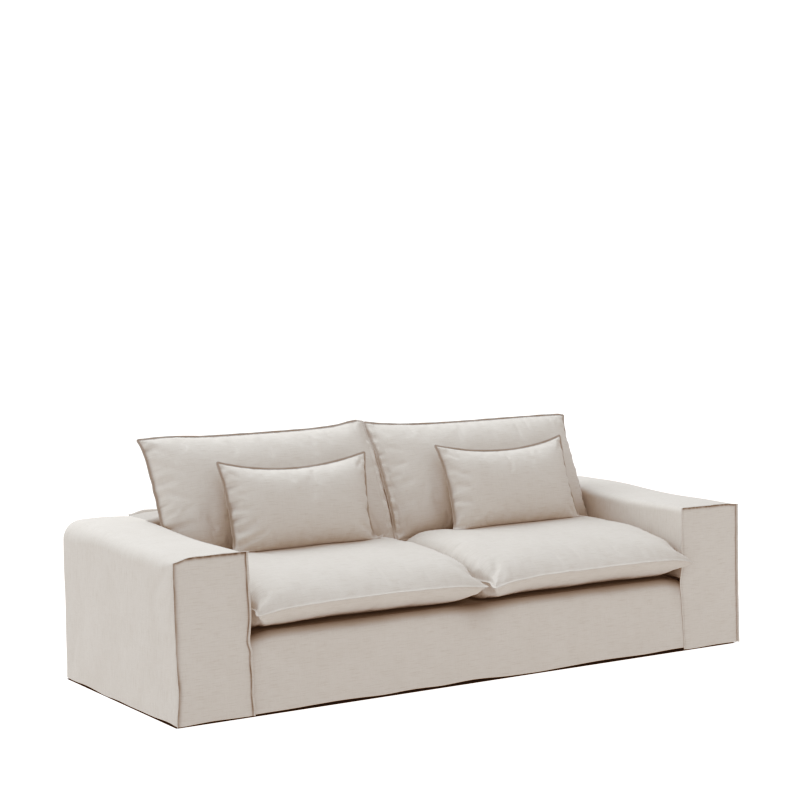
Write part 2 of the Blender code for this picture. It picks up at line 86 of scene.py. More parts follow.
# Deeper, warmer shadows: what black becomes, then (shade, result), for red, green and blue.
PRINTED = ((0.012, (0.033, 0.038), (0.133, 0.142), (0.28, 0.298), (0.45, 0.456), (0.60, 0.60)),
           (0.005, (0.033, 0.022), (0.133, 0.108), (0.24, 0.218), (0.35, 0.340), (0.45, 0.45)),
           (0.003, (0.033, 0.014), (0.133, 0.092), (0.20, 0.158), (0.30, 0.282), (0.39, 0.39)))
for curve, (black, *printed) in zip(print_view.curve_mapping.curves, PRINTED):
    curve.points[0].location[1] = black
    for shade, result in printed:
        curve.points.new(shade, result)
print_view.curve_mapping.update()

FLOOR_LOW = (-60.0, -60.0)
FLOOR_HIGH = (60.0, 60.0)
FLOOR_DROP = 0.0005             # below the lowest hem
UNDER_LOW = (-1.2110, -0.4395)  # the floor inside the hollow cover, painted dark: painted shade where no light reaches
UNDER_HIGH = (1.2110, 0.5090)
FLOOR_GLOW = (0.90, 0.865, 0.84)
FLOOR_LIGHT = 0.80              # its glow on the linen
FLOOR_SEEN = 1.2                # and to the camera, a full white
floor_z = cad_box[0][2] - FLOOR_DROP
floor_mesh = bpy.data.meshes.new("floor")
floor_corners = []
for (x_low, y_low), (x_high, y_high) in ((FLOOR_LOW, FLOOR_HIGH), (UNDER_LOW, UNDER_HIGH)):
    around_it = ((x_low, y_low), (x_high, y_low), (x_high, y_high), (x_low, y_high))
    floor_corners += [(x, y, floor_z) for x, y in around_it]
floor_faces = [(i, (i + 1) % 4, 4 + (i + 1) % 4, 4 + i) for i in range(4)] + [(4, 5, 6, 7)]
floor_mesh.from_pydata(floor_corners, [], floor_faces)
floor = bpy.data.objects.new("floor", floor_mesh)
bpy.context.scene.collection.objects.link(floor)


def matt_floor(name, base, glow):
    """The floor's next material. The camera sees a stronger glow than the one that lights the linen."""
    finish = bpy.data.materials.new(name)
    finish.use_nodes = True
    nodes = finish.node_tree.nodes
    shader = nodes["Principled BSDF"]
    shader.inputs["Base Color"].default_value = (base, base, base, 1.0)
    shader.inputs["Roughness"].default_value = 0.9
    shader.inputs["Specular IOR Level"].default_value = 0.1
    shader.inputs["Emission Color"].default_value = (*FLOOR_GLOW, 1.0)
    seen = nodes.new("ShaderNodeMapRange")
    seen.inputs["To Min"].default_value = glow * FLOOR_LIGHT
    seen.inputs["To Max"].default_value = glow * FLOOR_SEEN
    ray = nodes.new("ShaderNodeLightPath")
    finish.node_tree.links.new(ray.outputs["Is Camera Ray"], seen.inputs["Value"])
    finish.node_tree.links.new(seen.outputs["Result"], shader.inputs["Emission Strength"])
    floor_mesh.materials.append(finish)


matt_floor("pale_floor", 0.20, 1.0)
# Painted shade: the floor under the cover is darker and has no glow, so the gap under the hems shows dark.
matt_floor("floor_under_cover", 0.05, 0.0)
floor_mesh.polygons[4].material_index = 1

SURROUND_FRONT = (0.575, 0.572, 0.570)          # towards the viewer and the right
SURROUND_REAR = (0.980, 1.020, 1.060)           # towards the left and the rear
BACKDROP = (1.3, 1.3, 1.3)                      # what the camera sees of it
SURROUND_BRIGHT_SIDE = (-0.8, 0.6, 0.0)
surround = bpy.data.worlds.new("surround")
surround.use_nodes = True
surround_nodes = surround.node_tree.nodes
surround_links = surround.node_tree.links
heading = surround_nodes.new("ShaderNodeTexCoord")
towards = surround_nodes.new("ShaderNodeVectorMath")
towards.operation = "DOT_PRODUCT"
towards.inputs[1].default_value = SURROUND_BRIGHT_SIDE
brightness = surround_nodes.new("ShaderNodeMapRange")
brightness.inputs["From Min"].default_value = -1.0
sky = surround_nodes.new("ShaderNodeMix")
sky.data_type = "RGBA"
sky.inputs[6].default_value = (*SURROUND_FRONT, 1.0)
sky.inputs[7].default_value = (*SURROUND_REAR, 1.0)
surround_links.new(heading.outputs["Generated"], towards.inputs[0])
surround_links.new(towards.outputs["Value"], brightness.inputs["Value"])
surround_links.new(brightness.outputs["Result"], sky.inputs["Factor"])
shown = surround_nodes.new("ShaderNodeMix")
shown.data_type = "RGBA"
shown.inputs[7].default_value = (*BACKDROP, 1.0)
surround_ray = surround_nodes.new("ShaderNodeLightPath")
surround_links.new(surround_ray.outputs["Is Camera Ray"], shown.inputs["Factor"])
surround_links.new(sky.outputs[2], shown.inputs[6])
surround_links.new(shown.outputs[2], surround_nodes["Background"].inputs["Color"])
bpy.context.scene.world = surround


def softbox(name, place, aim, size, power, colour):
    """A square soft light that faces its aim."""
    light = bpy.data.lights.new(name, "AREA")
    light.shape = "SQUARE"
    light.size = size
    light.energy = power
    light.color = colour
    holder = bpy.data.objects.new(name, light)
    holder.location = place
    holder.rotation_euler = (Vector(aim) - Vector(place)).to_track_quat("-Z", "Y").to_euler()
    bpy.context.scene.collection.objects.link(holder)


softbox("overhead", (-0.8, 2.1, 4.3), (0.0, 0.0, 0.3), 3.4, 140.0, (0.86, 0.93, 1.0))
softbox("right", (3.4, -3.2, 1.8), (1.0, -0.4, 0.4), 2.0, 8.0, (1.0, 0.97, 0.95))


# ================================================================ arm covers
# Each arm has a flat front panel and one length of linen over its outer side, top and inner side.
# Thin washed linen, sewn with the seam turned outwards, so that a narrow fin stands round the panel.
# The hem hangs free, just off the floor.

FRONT_Y = -0.4443               # where the arm fronts stand
HALF_WIDTH = 1.2135             # to the outer face of each arm
COVER_DEPTH = 0.956             # arm fronts to outside back
ARM_WIDTH = 0.271
ARM_HEIGHT = 0.560              # at the front seam
ARM_REAR_RISE = 0.022
ARM_CROWN = 0.005
ARM_ROUND = 0.045               # outer long edge
ARM_FRONT_ROUND = 0.012         # the same edge, where it meets the front panel
ARM_REAR_ROUND = 0.065          # and at the rear
ARM_INNER_ROUND = 0.018
REAR_ROUND = 0.020              # turn round the rear corner
REAR_TURN = 0.008
BACK_THICKNESS = 0.170
DECK_HEIGHT = 0.285
LINEN = 0.0016                  # thickness of the cloth
SEAM_GAP = 0.0005
FLANGE = 0.011                  # turned-out seam
FIN_SHARES = (0.2, 0.45, 0.72, 1.0)     # lines of the fin, from the seam out
SEAM_ROLL = 0.0045              # the padding under the linen swells this much beside a seam
INNER_X = HALF_WIDTH - ARM_WIDTH
REAR_Y = FRONT_Y + COVER_DEPTH
BACK_DEPTH = COVER_DEPTH - BACK_THICKNESS
ARMS = {
    # name: (side of the sofa, how much higher or lower its top sits)
    "left": (-1.0, 0.004),
    "right": (1.0, -0.005),
}
# How far the front seams stray sideways (+X) from straight, by height above the floor.
SEAM_STRAY = (
    # height, left outer, left inner, right inner, right outer
    (0.000, 0.003, 0.013, 0.010, 0.000),
    (0.110, 0.010, 0.008, 0.004, -0.003),
    (0.220, 0.006, 0.006, -0.005, -0.005),
    (0.260, 0.005, -0.003, -0.009, -0.006),
    (0.340, 0.003, 0.005, 0.000, -0.006),
    (0.440, 0.001, 0.001, 0.000, -0.006),
    (0.560, 0.000, -0.003, 0.000, -0.006),
)
SEAM_COLUMN = {("left", "outer"): 1, ("left", "inner"): 2, ("right", "inner"): 3, ("right", "outer"): 4}

LINEN_COLOUR = (0.660, 0.604, 0.544)
LINEN_WARM = (0.562, 0.500, 0.434)      # thicker, warmer yarns
LINEN_PALE = (0.720, 0.674, 0.620)      # paler yarns
SEAM_SHADE = (0.120, 0.088, 0.064)      # painted shade: deep in seams, under the seats and on the shoulders, where little light gets in; on the cushions' flanges also the doubled cloth's darker tone
THREAD = 0.0011                 # from one thread to the next


def mix(low, high, share):
    return low + (high - low) * share


def ease(value):
    """0 to 1 with soft ends."""
    value = min(max(value, 0.0), 1.0)
    return value * value * (3.0 - 2.0 * value)


def ruffle(seed, place, step, size):
    """A repeatable, smooth unevenness of about +-size, with bumps about a step apart."""
    return size * noise.noise(Vector((place / step, seed * 7.31, 0.37)))


def rumple(seed, a, b, step, size):
    """Unevenness in two directions."""
    return size * noise.noise(Vector((a / step, b / step, seed * 3.7)))


def crease(a, b, row):
    """A soft trough on the cloth, or a ridge where depth is negative.

    A row is the start (a, b), the end (a, b), the width and the depth, in mm.
    """
    start_a, start_b, end_a, end_b, width, depth = [number / 1000.0 for number in row]
    run_a, run_b = end_a - start_a, end_b - start_b
    length = math.hypot(run_a, run_b)
    along = ((a - start_a) * run_a + (b - start_b) * run_b) / length
    if not 0.0 < along < length:
        return 0.0
    off = ((a - start_a) * run_b - (b - start_b) * run_a) / length
    off += ruffle(start_a + end_b, along, 0.09, 0.35 * width)
    if abs(off) > 3.0 * width:
        return 0.0
    return -depth * math.sin(math.pi * along / length) ** 0.7 * math.exp(-(off / width) ** 2)


def folds(a, b, rows):
    """Several creases together."""
    return sum(crease(a, b, row) for row in rows)


def linen_finish():
    """Fine slubby plain weave. Reads the cloth's own map, in metres, and its share of painted shade."""
    finish = bpy.data.materials.new("washed_linen")
    finish.use_nodes = True
    nodes = finish.node_tree.nodes
    links = finish.node_tree.links
    shader = nodes["Principled BSDF"]
    shader.inputs["Roughness"].default_value = 0.88
    shader.inputs["Specular IOR Level"].default_value = 0.15
    shader.inputs["Sheen Weight"].default_value = 0.08
    shader.inputs["Sheen Roughness"].default_value = 0.45

    def node(kind, **settings):
        made = nodes.new(kind)
        for key, value in settings.items():
            setattr(made, key, value)
        return made

    def math_node(operation, first, second=None):
        made = node("ShaderNodeMath", operation=operation)
        for socket, value in zip(made.inputs, (first, second)):
            if value is None:
                continue
            if isinstance(value, (int, float)):
                socket.default_value = value
            else:
                links.new(value, socket)
        return made.outputs[0]

    def yarn(scale_a, scale_b, detail):
        """Noise drawn out along one direction of the cloth."""
        stretched = node("ShaderNodeVectorMath", operation="MULTIPLY")
        links.new(cloth_map.outputs["UV"], stretched.inputs[0])
        stretched.inputs[1].default_value = (scale_a, scale_b, 1.0)
        pattern = node("ShaderNodeTexNoise", noise_dimensions="2D")
        pattern.inputs["Scale"].default_value = 1.0
        pattern.inputs["Detail"].default_value = detail
        links.new(stretched.outputs[0], pattern.inputs["Vector"])
        return pattern.outputs["Fac"]

    cloth_map = node("ShaderNodeUVMap", uv_map="cloth")
    split = node("ShaderNodeSeparateXYZ")
    links.new(cloth_map.outputs["UV"], split.inputs[0])
    half_turn = math.pi / THREAD
    warp = math_node("SINE", math_node("MULTIPLY", split.outputs["X"], half_turn))
    weft = math_node("SINE", math_node("MULTIPLY", split.outputs["Y"], half_turn))
    weave = math_node("MULTIPLY", warp, weft)

    slub_along = yarn(16.0, 340.0, 3.0)
    slub_across = yarn(420.0, 22.0, 3.0)
    streak_along = yarn(30.0, 520.0, 2.0)
    streak_across = yarn(520.0, 40.0, 2.0)
    patches = yarn(9.0, 9.0, 5.0)

    def share(source, low, high):
        ramp = node("ShaderNodeMapRange", clamp=True)
        links.new(source, ramp.inputs["Value"])
        ramp.inputs["From Min"].default_value = low
        ramp.inputs["From Max"].default_value = high
        return ramp.outputs["Result"]

    def blend(first, second, factor):
        made = node("ShaderNodeMix", data_type="RGBA")
        links.new(factor, made.inputs["Factor"])
        for socket, value in ((made.inputs[6], first), (made.inputs[7], second)):
            if isinstance(value, tuple):
                socket.default_value = (*value, 1.0)
            else:
                links.new(value, socket)
        return made.outputs[2]

    across_yarns = math_node("MULTIPLY", share(slub_across, 0.54, 0.76), 0.45)
    yarns = math_node("ADD", share(slub_along, 0.53, 0.74), across_yarns)
    streaks = math_node("ADD", share(streak_along, 0.50, 0.75), share(streak_across, 0.50, 0.75))
    colour = blend(LINEN_COLOUR, LINEN_WARM, math_node("MULTIPLY", yarns, 0.62))
    colour = blend(colour, LINEN_PALE, math_node("MULTIPLY", streaks, 0.25))
    colour = blend(colour, LINEN_WARM, math_node("MULTIPLY", share(patches, 0.40, 0.75), 0.14))
    # Painted shade: the seam attribute darkens the linen towards SEAM_SHADE in grooves, under the seats, on
    # the shoulders and on the cushions' flanges.
    seam = node("ShaderNodeAttribute", attribute_name="seam")
    colour = blend(colour, SEAM_SHADE, math_node("MULTIPLY", seam.outputs["Fac"], 0.9))
    links.new(colour, shader.inputs["Base Color"])

    crumple = yarn(34.0, 34.0, 5.0)
    height = math_node("ADD", math_node("MULTIPLY", weave, 0.10), math_node("MULTIPLY", yarns, 0.22))
    relief = node("ShaderNodeBump")
    relief.inputs["Strength"].default_value = 0.55
    relief.inputs["Distance"].default_value = 0.0006
    links.new(height, relief.inputs["Height"])
    soft = node("ShaderNodeBump")
    soft.inputs["Strength"].default_value = 0.4
    soft.inputs["Distance"].default_value = 0.0020
    links.new(crumple, soft.inputs["Height"])
    links.new(soft.outputs["Normal"], relief.inputs["Normal"])
    links.new(relief.outputs["Normal"], shader.inputs["Normal"])
    return finish


washed_linen = linen_finish()


def seam_stray(arm, edge, height):
    column = SEAM_COLUMN[arm, edge]
    for lower, upper in zip(SEAM_STRAY, SEAM_STRAY[1:]):
        if height <= upper[0]:
            stray = mix(lower[column], upper[column], ease((height - lower[0]) / (upper[0] - lower[0])))
            return stray + ruffle(60 + column, height, 0.050, 0.0016)
    return SEAM_STRAY[-1][column] + ruffle(60 + column, height, 0.050, 0.0016)


def hem_height(seed, place):
    """The hem clears the floor by 3 to 10 mm, unevenly."""
    return 0.0070 + ruffle(seed, place, 0.17, 0.0055)


def spaced(length, step):
    """Stations from 0 to length, closer together at both ends."""
    ends = [0.0, 0.002, 0.005, 0.009, 0.014]
    count = max(round((length - 2 * ends[-1]) / step), 1)
    middle = [mix(ends[-1], length - ends[-1], index / count) for index in range(1, count)]
    return ends + middle + [length - end for end in reversed(ends)]


def cloth_piece(name, rows, columns, point, outside, keep=None, seam_share=None):
    """A sheet of linen from point(row, column), thickened inwards, with its own map in metres.

    outside is a direction that its first cell faces. Cells that keep() refuses are left out.
    Returns the piece, its width and length before it was fitted, and its area.
    """
    grid = np.array([[point(row, column) for column in columns] for row in rows])
    middle_row, middle_column = grid[len(rows) // 2], grid[:, len(columns) // 2]
    across = np.concatenate(([0.0], np.cumsum(np.linalg.norm(np.diff(middle_row, axis=0), axis=1))))
    along = np.concatenate(([0.0], np.cumsum(np.linalg.norm(np.diff(middle_column, axis=0), axis=1))))
    shape = bmesh.new()
    cloth_map = shape.loops.layers.uv.new("cloth")
    seam = shape.verts.layers.float.new("seam")
    crossings = [[shape.verts.new(place) for place in line] for line in grid]
    if seam_share:
        for i, row in enumerate(rows):
            for j, column in enumerate(columns):
                crossings[i][j][seam] = seam_share(row, column)
    for i in range(len(rows) - 1):
        for j in range(len(columns) - 1):
            if keep is None or keep(rows[i], columns[j]):
                corners = ((i, j), (i, j + 1), (i + 1, j + 1), (i + 1, j))
                cell = shape.faces.new([crossings[m][n] for m, n in corners])
                for loop, (m, n) in zip(cell.loops, corners):
                    loop[cloth_map].uv = (across[n], along[m])
    unused = [vertex for vertex in shape.verts if not vertex.link_faces]
    bmesh.ops.delete(shape, geom=unused, context="VERTS")
    shape.faces.ensure_lookup_table()
    shape.normal_update()
    if shape.faces[0].normal.dot(Vector(outside)) < 0.0:
        bmesh.ops.reverse_faces(shape, faces=shape.faces)
    area = sum(face.calc_area() for face in shape.faces)
    piece = to_object(name, shape)
    solid = piece.modifiers.new("thickness", "SOLIDIFY")
    solid.thickness = LINEN
    solid.offset = -1.0
    return piece, (float(across[-1]), float(along[-1])), area


def to_object(name, shape):
    mesh = bpy.data.meshes.new(name)
    shape.to_mesh(mesh)
    shape.free()
    mesh.materials.append(washed_linen)
    mesh.shade_smooth()
    piece = bpy.data.objects.new(name, mesh)
    bpy.context.scene.collection.objects.link(piece)
    return piece


def fitted_panel(node, made):
    """Attaches a finished panel to the root and hides the frame's plain one, which it stands for."""
    piece, flat, area = made
    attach(piece, "root")
    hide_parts(node)
    min(area, flat[0] * flat[1])


def arm_top(arm, depth):
    _side, lift = ARMS[arm]
    return ARM_HEIGHT + lift + ARM_REAR_RISE * ease((depth - 0.30) / 0.50)


ARM_FRONT_CREASES = {
    # from the outer seam, and above the floor
    "left": (
        (262, 548, 120, 470, 12, 2.2), (10, 545, 110, 500, 12, 1.8), (262, 330, 150, 360, 16, 2),
        (268, 250, 170, 200, 18, 2.4), (12, 130, 100, 70, 20, 2), (180, 20, 150, 180, 22, 2.2)),
    "right": (
        (262, 250, 130, 310, 16, 2.4), (266, 230, 150, 150, 16, 2), (12, 535, 120, 460, 14, 1.8),
        (15, 120, 110, 50, 20, 2), (120, 15, 160, 200, 24, 2.2)),
}


ARM_CORNER_DROP = {"left": 0.012, "right": 0.005}    # how far the front's outer top corner sags


def front_sag(arm, across, depth):
    """How far the front of an arm's top sags, by the distance from the outer face and from the front."""
    drop = ARM_CORNER_DROP[arm] * (1.0 - ease(across / 0.065)) ** 1.5 * (1.0 - ease(depth / 0.16))
    wave = ruffle(14 + ARMS[arm][0], across, 0.06, 0.0024) * math.sin(math.pi * across / ARM_WIDTH)
    return drop + wave * (1.0 - ease(depth / 0.08))


INNER_FIN_LEAN = {"left": (0.45, 0.85), "right": (0.60, 0.12)}  # sideways and forwards
# Painted shade in the groove beside each seam, how dark and how wide: the fin stands out over it.
FRONT_GROOVE_SHADE = {
    ("left", "outer"): (0.60, 0.0100),
    ("left", "inner"): (0.85, 0.0040),
    ("left", "top"): (1.15, 0.0070),
    ("right", "inner"): (0.15, 0.0030),
    ("right", "outer"): (0.50, 0.0040),
    ("right", "top"): (1.00, 0.0060),
}


def arm_front(arm):
    """Front panel with its three seams turned out."""
    side, _lift = ARMS[arm]
    height = arm_top(arm, 0.0)
    fin = [share * FLANGE for share in FIN_SHARES]
    across = [-out for out in reversed(fin)] + spaced(ARM_WIDTH, 0.007)
    across += [ARM_WIDTH + out for out in fin]
    upward = spaced(height, 0.0075) + [height + out for out in fin]

    def point(row, column):
        z = min(row, height)
        above = row - z
        along = min(max(column, 0.0), ARM_WIDTH)
        share = along / ARM_WIDTH
        outer = side * HALF_WIDTH + seam_stray(arm, "outer", z)
        inner = side * INNER_X + seam_stray(arm, "inner", z)
        x = mix(outer, inner, share)
        belly = math.sin(math.pi * share) * math.sin(math.pi * z / height)
        y = FRONT_Y - 0.004 * belly
        from_seam = min(along, ARM_WIDTH - along, height - z)
        y -= SEAM_ROLL * (1.0 - math.exp(-from_seam / 0.006))
        y += rumple(5 + side, x, z, 0.11, 0.0016) * ease(from_seam / 0.03)
        pucker = math.exp(-from_seam / 0.016) * ease(from_seam / 0.004)
        y += pucker * rumple(7 + side, x, z, 0.020, 0.0016)
        y -= folds(along, z, ARM_FRONT_CREASES[arm]) * ease(from_seam / 0.012)
        hem = hem_height(1 + side, x) * (0.8 + 0.4 * math.sin(math.pi * share))
        z += hem * (1.0 - ease(z / 0.06)) - front_sag(arm, along, 0.0) * (z / height) ** 6
        wave = 1.0 + ruffle(3 + side, z, 0.055, 0.40) + ruffle(4 + side, z, 0.018, 0.20)
        beyond = column - along
        if beyond < 0.0:
            x += side * -beyond * 0.30 * wave
            y += beyond * 0.92
        if beyond > 0.0:
            x -= side * beyond * INNER_FIN_LEAN[arm][0] * wave
            y -= beyond * INNER_FIN_LEAN[arm][1]
        if above:
            lean = 1.0 + ruffle(9 + side, x, 0.05, 0.90) + ruffle(10 + side, x, 0.017, 0.25)
            z += above * 0.22 * lean
            y -= above * 0.92
        return x, y, z

    # Painted shade: darker in the groove beside the outer, inner and top seams.
    def seam_share(row, column):
        if max(-column, column - ARM_WIDTH, row - height) > 0.003:
            return 0.0
        dark = 0.0
        for edge, distance in (("outer", column), ("inner", ARM_WIDTH - column), ("top", height - row)):
            strength, reach = FRONT_GROOVE_SHADE[arm, edge]
            uneven = 0.75 + ruffle(12 + side, row + 3.0 * column, 0.03, 0.5)
            dark = max(dark, strength * uneven * math.exp(-(max(distance, 0.0) / reach) ** 2))
        return min(dark, 1.0)

    name = "arm_" + arm + "_front"
    made = cloth_piece("linen_" + name, upward, across, point, (-side, -0.5, 0.0), seam_share=seam_share)
    fitted_panel(name, made)


# On the outer side: depth behind the front, and height.
ARM_SIDE_CREASES = {
    "left": (
        (100, 50, 160, 500, 50, 3), (420, 20, 460, 460, 60, 3.2), (640, 40, 580, 500, 55, -2.6),
        (760, 30, 790, 520, 45, 3.2), (10, 20, 140, 140, 20, 3), (20, 540, 180, 400, 22, 2.6),
        (280, 0, 240, 160, 26, 2.4), (900, 20, 840, 220, 28, 3)),
    "right": (
        (120, 20, 80, 460, 45, 3), (360, 20, 400, 480, 60, 3), (620, 20, 660, 440, 50, -2.8),
        (820, 40, 780, 500, 45, 3), (10, 30, 120, 160, 20, 2.8), (20, 530, 160, 420, 22, 2.4)),
}


def arm_wrap(arm):
    """One length of linen: outer side, top and inner side, turned in round the rear corner."""
    side, _lift = ARMS[arm]
    flat_depth = COVER_DEPTH - REAR_ROUND
    along = [("depth", depth) for depth in spaced(flat_depth, 0.0095) if not 0 < BACK_DEPTH - depth < 0.012]
    along += [("depth", BACK_DEPTH - 0.006), ("depth", BACK_DEPTH - 0.0005)]
    along.sort(key=lambda station: station[1])
    along += [("turn", angle) for angle in (22.5, 45, 67.5, 90)]
    along += [("rear", REAR_TURN / 2), ("rear", REAR_TURN)]
    around = [("side", share) for share in spaced(1.0, 0.017)]
    around += [("round", angle) for angle in (9, 18, 27, 36, 45, 54, 63, 72, 81, 90)]
    around += [("top", index / 21) for index in range(1, 21)]
    around += [("inner round", angle) for angle in (0, 22.5, 45, 67.5, 90)]
    around += [("inner", index / 26) for index in range(1, 27)]

    def behind(row):
        return row[0] != "depth" or row[1] > BACK_DEPTH - 0.006

    def point(row, column):
        kind, value = row
        inset = 0.0
        depth = value
        if kind == "turn":
            inset = REAR_ROUND * (1.0 - math.cos(math.radians(value)))
            depth = COVER_DEPTH - REAR_ROUND * (1.0 - math.sin(math.radians(value)))
        if kind == "rear":
            inset = REAR_ROUND + value
            depth = COVER_DEPTH
        top = arm_top(arm, depth) - inset
        rounding = mix(ARM_FRONT_ROUND, ARM_ROUND, ease(depth / 0.13))
        rounding = mix(rounding, ARM_REAR_ROUND, ease((depth - 0.60) / 0.30)) - inset
        inside = column[0].startswith("inner")
        front_share = 1.0 - ease(depth / (0.05 if inside else 0.15))
        outer = HALF_WIDTH - inset
        section, share = column
        if section == "side":
            hem = hem_height(20 + side, depth) * (0.6 + 0.4 * ease(depth / 0.05))
            x, z = outer, mix(hem, top - rounding - front_sag(arm, 0.0, depth), share)
        elif section == "round":
            angle = math.radians(share)
            x = outer - rounding * (1.0 - math.cos(angle))
            z = top - rounding * (1.0 - math.sin(angle))
        elif section == "top":
            x, z = mix(outer - rounding, INNER_X + ARM_INNER_ROUND, share), top
        elif section == "inner round":
            angle = math.radians(share)
            x = INNER_X + ARM_INNER_ROUND * (1.0 - math.sin(angle))
            z = top if behind(row) else top - ARM_INNER_ROUND * (1.0 - math.cos(angle))
        else:
            x, z = INNER_X, mix(top - ARM_INNER_ROUND, DECK_HEIGHT - LINEN, share)
        across = min(max((outer - x) / ARM_WIDTH, 0.0), 1.0)
        if section in ("round", "top"):
            z -= front_sag(arm, across * ARM_WIDTH, depth)
        soft_end = ease(depth / 0.03) * (1.0 - min(inset / REAR_ROUND, 1.0))
        if section in ("top", "round", "inner round"):
            z += ARM_CROWN * math.sin(math.pi * across) * (1.0 - front_share) * soft_end
            z += rumple(33 + side, x, depth, 0.16, 0.0030) * soft_end * math.sin(math.pi * across)
            z += rumple(34 + side, x, depth, 0.024, 0.0014) * math.exp(-depth / 0.03) * ease(depth / 0.006)
        if section in ("side", "round"):
            fade = soft_end * (1.0 if section == "side" else math.cos(math.radians(share)))
            belly = 0.004 * math.sin(math.pi * min(z / top, 1.0)) * math.sin(math.pi * depth / COVER_DEPTH)
            x += belly + fade * rumple(30 + side, depth, z, 0.19, 0.0034)
            x += fade * folds(depth, z, ARM_SIDE_CREASES[arm])
            seam_pucker = rumple(35 + side, depth, z, 0.022, 0.0022) * math.exp(-depth / 0.030)
            x += seam_pucker * ease(depth / 0.005) - 0.0035 * math.exp(-depth / 0.010)
        if section == "inner":
            x += rumple(37 + side, depth, z, 0.14, 0.0020) * soft_end * ease((BACK_DEPTH - depth) / 0.05)
        stray = "outer" if across < 0.5 else "inner"
        x = side * x + seam_stray(arm, stray, z) * front_share
        return x, FRONT_Y + max(depth, LINEN + SEAM_GAP), z

    def keep(row, column):
        if column[0] == "inner" or column == ("inner round", 90):
            return row[0] == "depth" and row[1] < BACK_DEPTH - 0.007
        return True

    name = "arm_" + arm + "_wrap"
    made = cloth_piece("linen_" + name, along, around, point, (side, 0.0, 0.0), keep)
    fitted_panel(name, made)


for arm_name in ARMS:
    arm_front(arm_name)
    arm_wrap(arm_name)


# ================================================================ front apron and seat deck
# The apron hangs below the seats, from arm to arm, in one length; its top turns back over the edge
# of the seat base. The deck behind it is the same linen, and the seat cushions lie on it.

CORNER_DROOP = 0.010            # the seat base's front corners hang this much lower
CORNER_DROOP_WIDTH = 0.090
APRON_SET_BACK = 0.003
APRON_ROUND = 0.027
DECK_SEAM_GAP = 0.0014
APRON_CREASES = (
    (-935, 250, -800, 120, 22, 3.4), (-925, 268, -720, 225, 18, 3), (-690, 260, -700, 30, 34, 3.4),
    (-420, 262, -395, 60, 40, 3.2), (-180, 20, -210, 210, 50, 3.6), (0, 268, 30, 80, 36, 4.6),
    (60, 265, 120, 100, 26, -2.8), (280, 20, 250, 200, 45, 3.2), (520, 260, 560, 50, 40, 3.4),
    (770, 25, 740, 210, 38, 3), (930, 258, 780, 160, 20, 3.4), (935, 230, 840, 60, 22, 3))


def corner_droop(x):
    return CORNER_DROOP * max(1.0 - (INNER_X - abs(x)) / CORNER_DROOP_WIDTH, 0.0)


def front_apron():
    face = DECK_HEIGHT - APRON_ROUND
    columns = [station / (2 * INNER_X) for station in spaced(2 * INNER_X, 0.010)]
    rows = [("face", station / face) for station in spaced(face, 0.0085)]
    rows += [("round", angle) for angle in (15, 30, 45, 60, 75, 90)]

    def point(row, column):
        kind, value = row
        y = FRONT_Y + APRON_SET_BACK
        z = value * face if kind == "face" else face
        left = -INNER_X + seam_stray("left", "inner", z)
        right_edge = INNER_X + seam_stray("right", "inner", z)
        if kind != "face":
            left = max(left, -INNER_X)
            right_edge = min(right_edge, INNER_X)
        x = mix(left + SEAM_GAP, right_edge - SEAM_GAP, column)
        edge = min(column, 1.0 - column) * 2 * INNER_X
        if kind == "face":
            hem = 1.25 * hem_height(41, x)
            z += hem * (1.0 - ease(z / 0.06))
        else:
            y += APRON_ROUND * (1.0 - math.cos(math.radians(value)))
            z += APRON_ROUND * math.sin(math.radians(value))
        z -= corner_droop(x) * (value if kind == "face" else 1.0)
        y -= 0.0022 * (1.0 - ease(edge / 0.02))
        if kind == "face":
            fade = math.sin(math.pi * 0.5 * min(2.0 - 2.0 * value, 1.0)) * ease(edge / 0.02)
            y += ruffle(43, x, 0.35, 0.003) * math.sin(math.pi * value)
            y += rumple(45, x, z, 0.13, 0.0026) * fade
            y -= folds(x, z, APRON_CREASES) * fade
        return x, y, z

    def seam_share(row, column):
        """Painted shade under the seats, deepest between them and beside the arms."""
        kind, value = row
        below = (1.0 - value) * face if kind == "face" else 0.0
        x = (column - 0.5) * 2 * INNER_X
        corners = math.exp(-(x / 0.09) ** 2) + math.exp(-((abs(x) - INNER_X) / 0.05) ** 2)
        beneath = 0.56 * math.sin(math.radians(value)) if kind == "round" else 0.0
        share = 0.16 + 0.30 * corners + ruffle(44, x, 0.12, 0.10)
        return min(share * math.exp(-below / (0.010 + 0.014 * corners)) + beneath, 1.0)

    made = cloth_piece("linen_front_apron", rows, columns, point, (0.0, -1.0, 0.0), seam_share=seam_share)
    fitted_panel("front_apron", made)


def seat_deck():
    front = FRONT_Y + APRON_SET_BACK + APRON_ROUND + DECK_SEAM_GAP
    rear = REAR_Y - BACK_THICKNESS - SEAM_GAP
    edge = INNER_X - SEAM_GAP
    columns = [station - edge for station in spaced(2 * edge, 0.030)]
    rows = [front + station for station in spaced(rear - front, 0.030)]

    def point(row, column):
        height = DECK_HEIGHT - corner_droop(column) * (1.0 - ease((row - front) / 0.14))
        return column, row, height - abs(rumple(47, column, row, 0.12, 0.0015))

    def seam_share(row, _column):
        """Painted shade, as on the apron's top: no light gets in under the seats."""
        return 0.90 * (1.0 - ease((row - front - 0.03) / 0.10))

    made = cloth_piece("linen_seat_deck", rows, columns, point, (0.0, 0.0, 1.0), seam_share=seam_share)
    fitted_panel("seat_deck", made)


front_apron()
seat_deck()


# ================================================================ low back
# One length of linen runs up the inside of the low back and over its top, and one panel covers the
# rear from arm to arm. The seam between them is turned out; the rear hem hangs free.

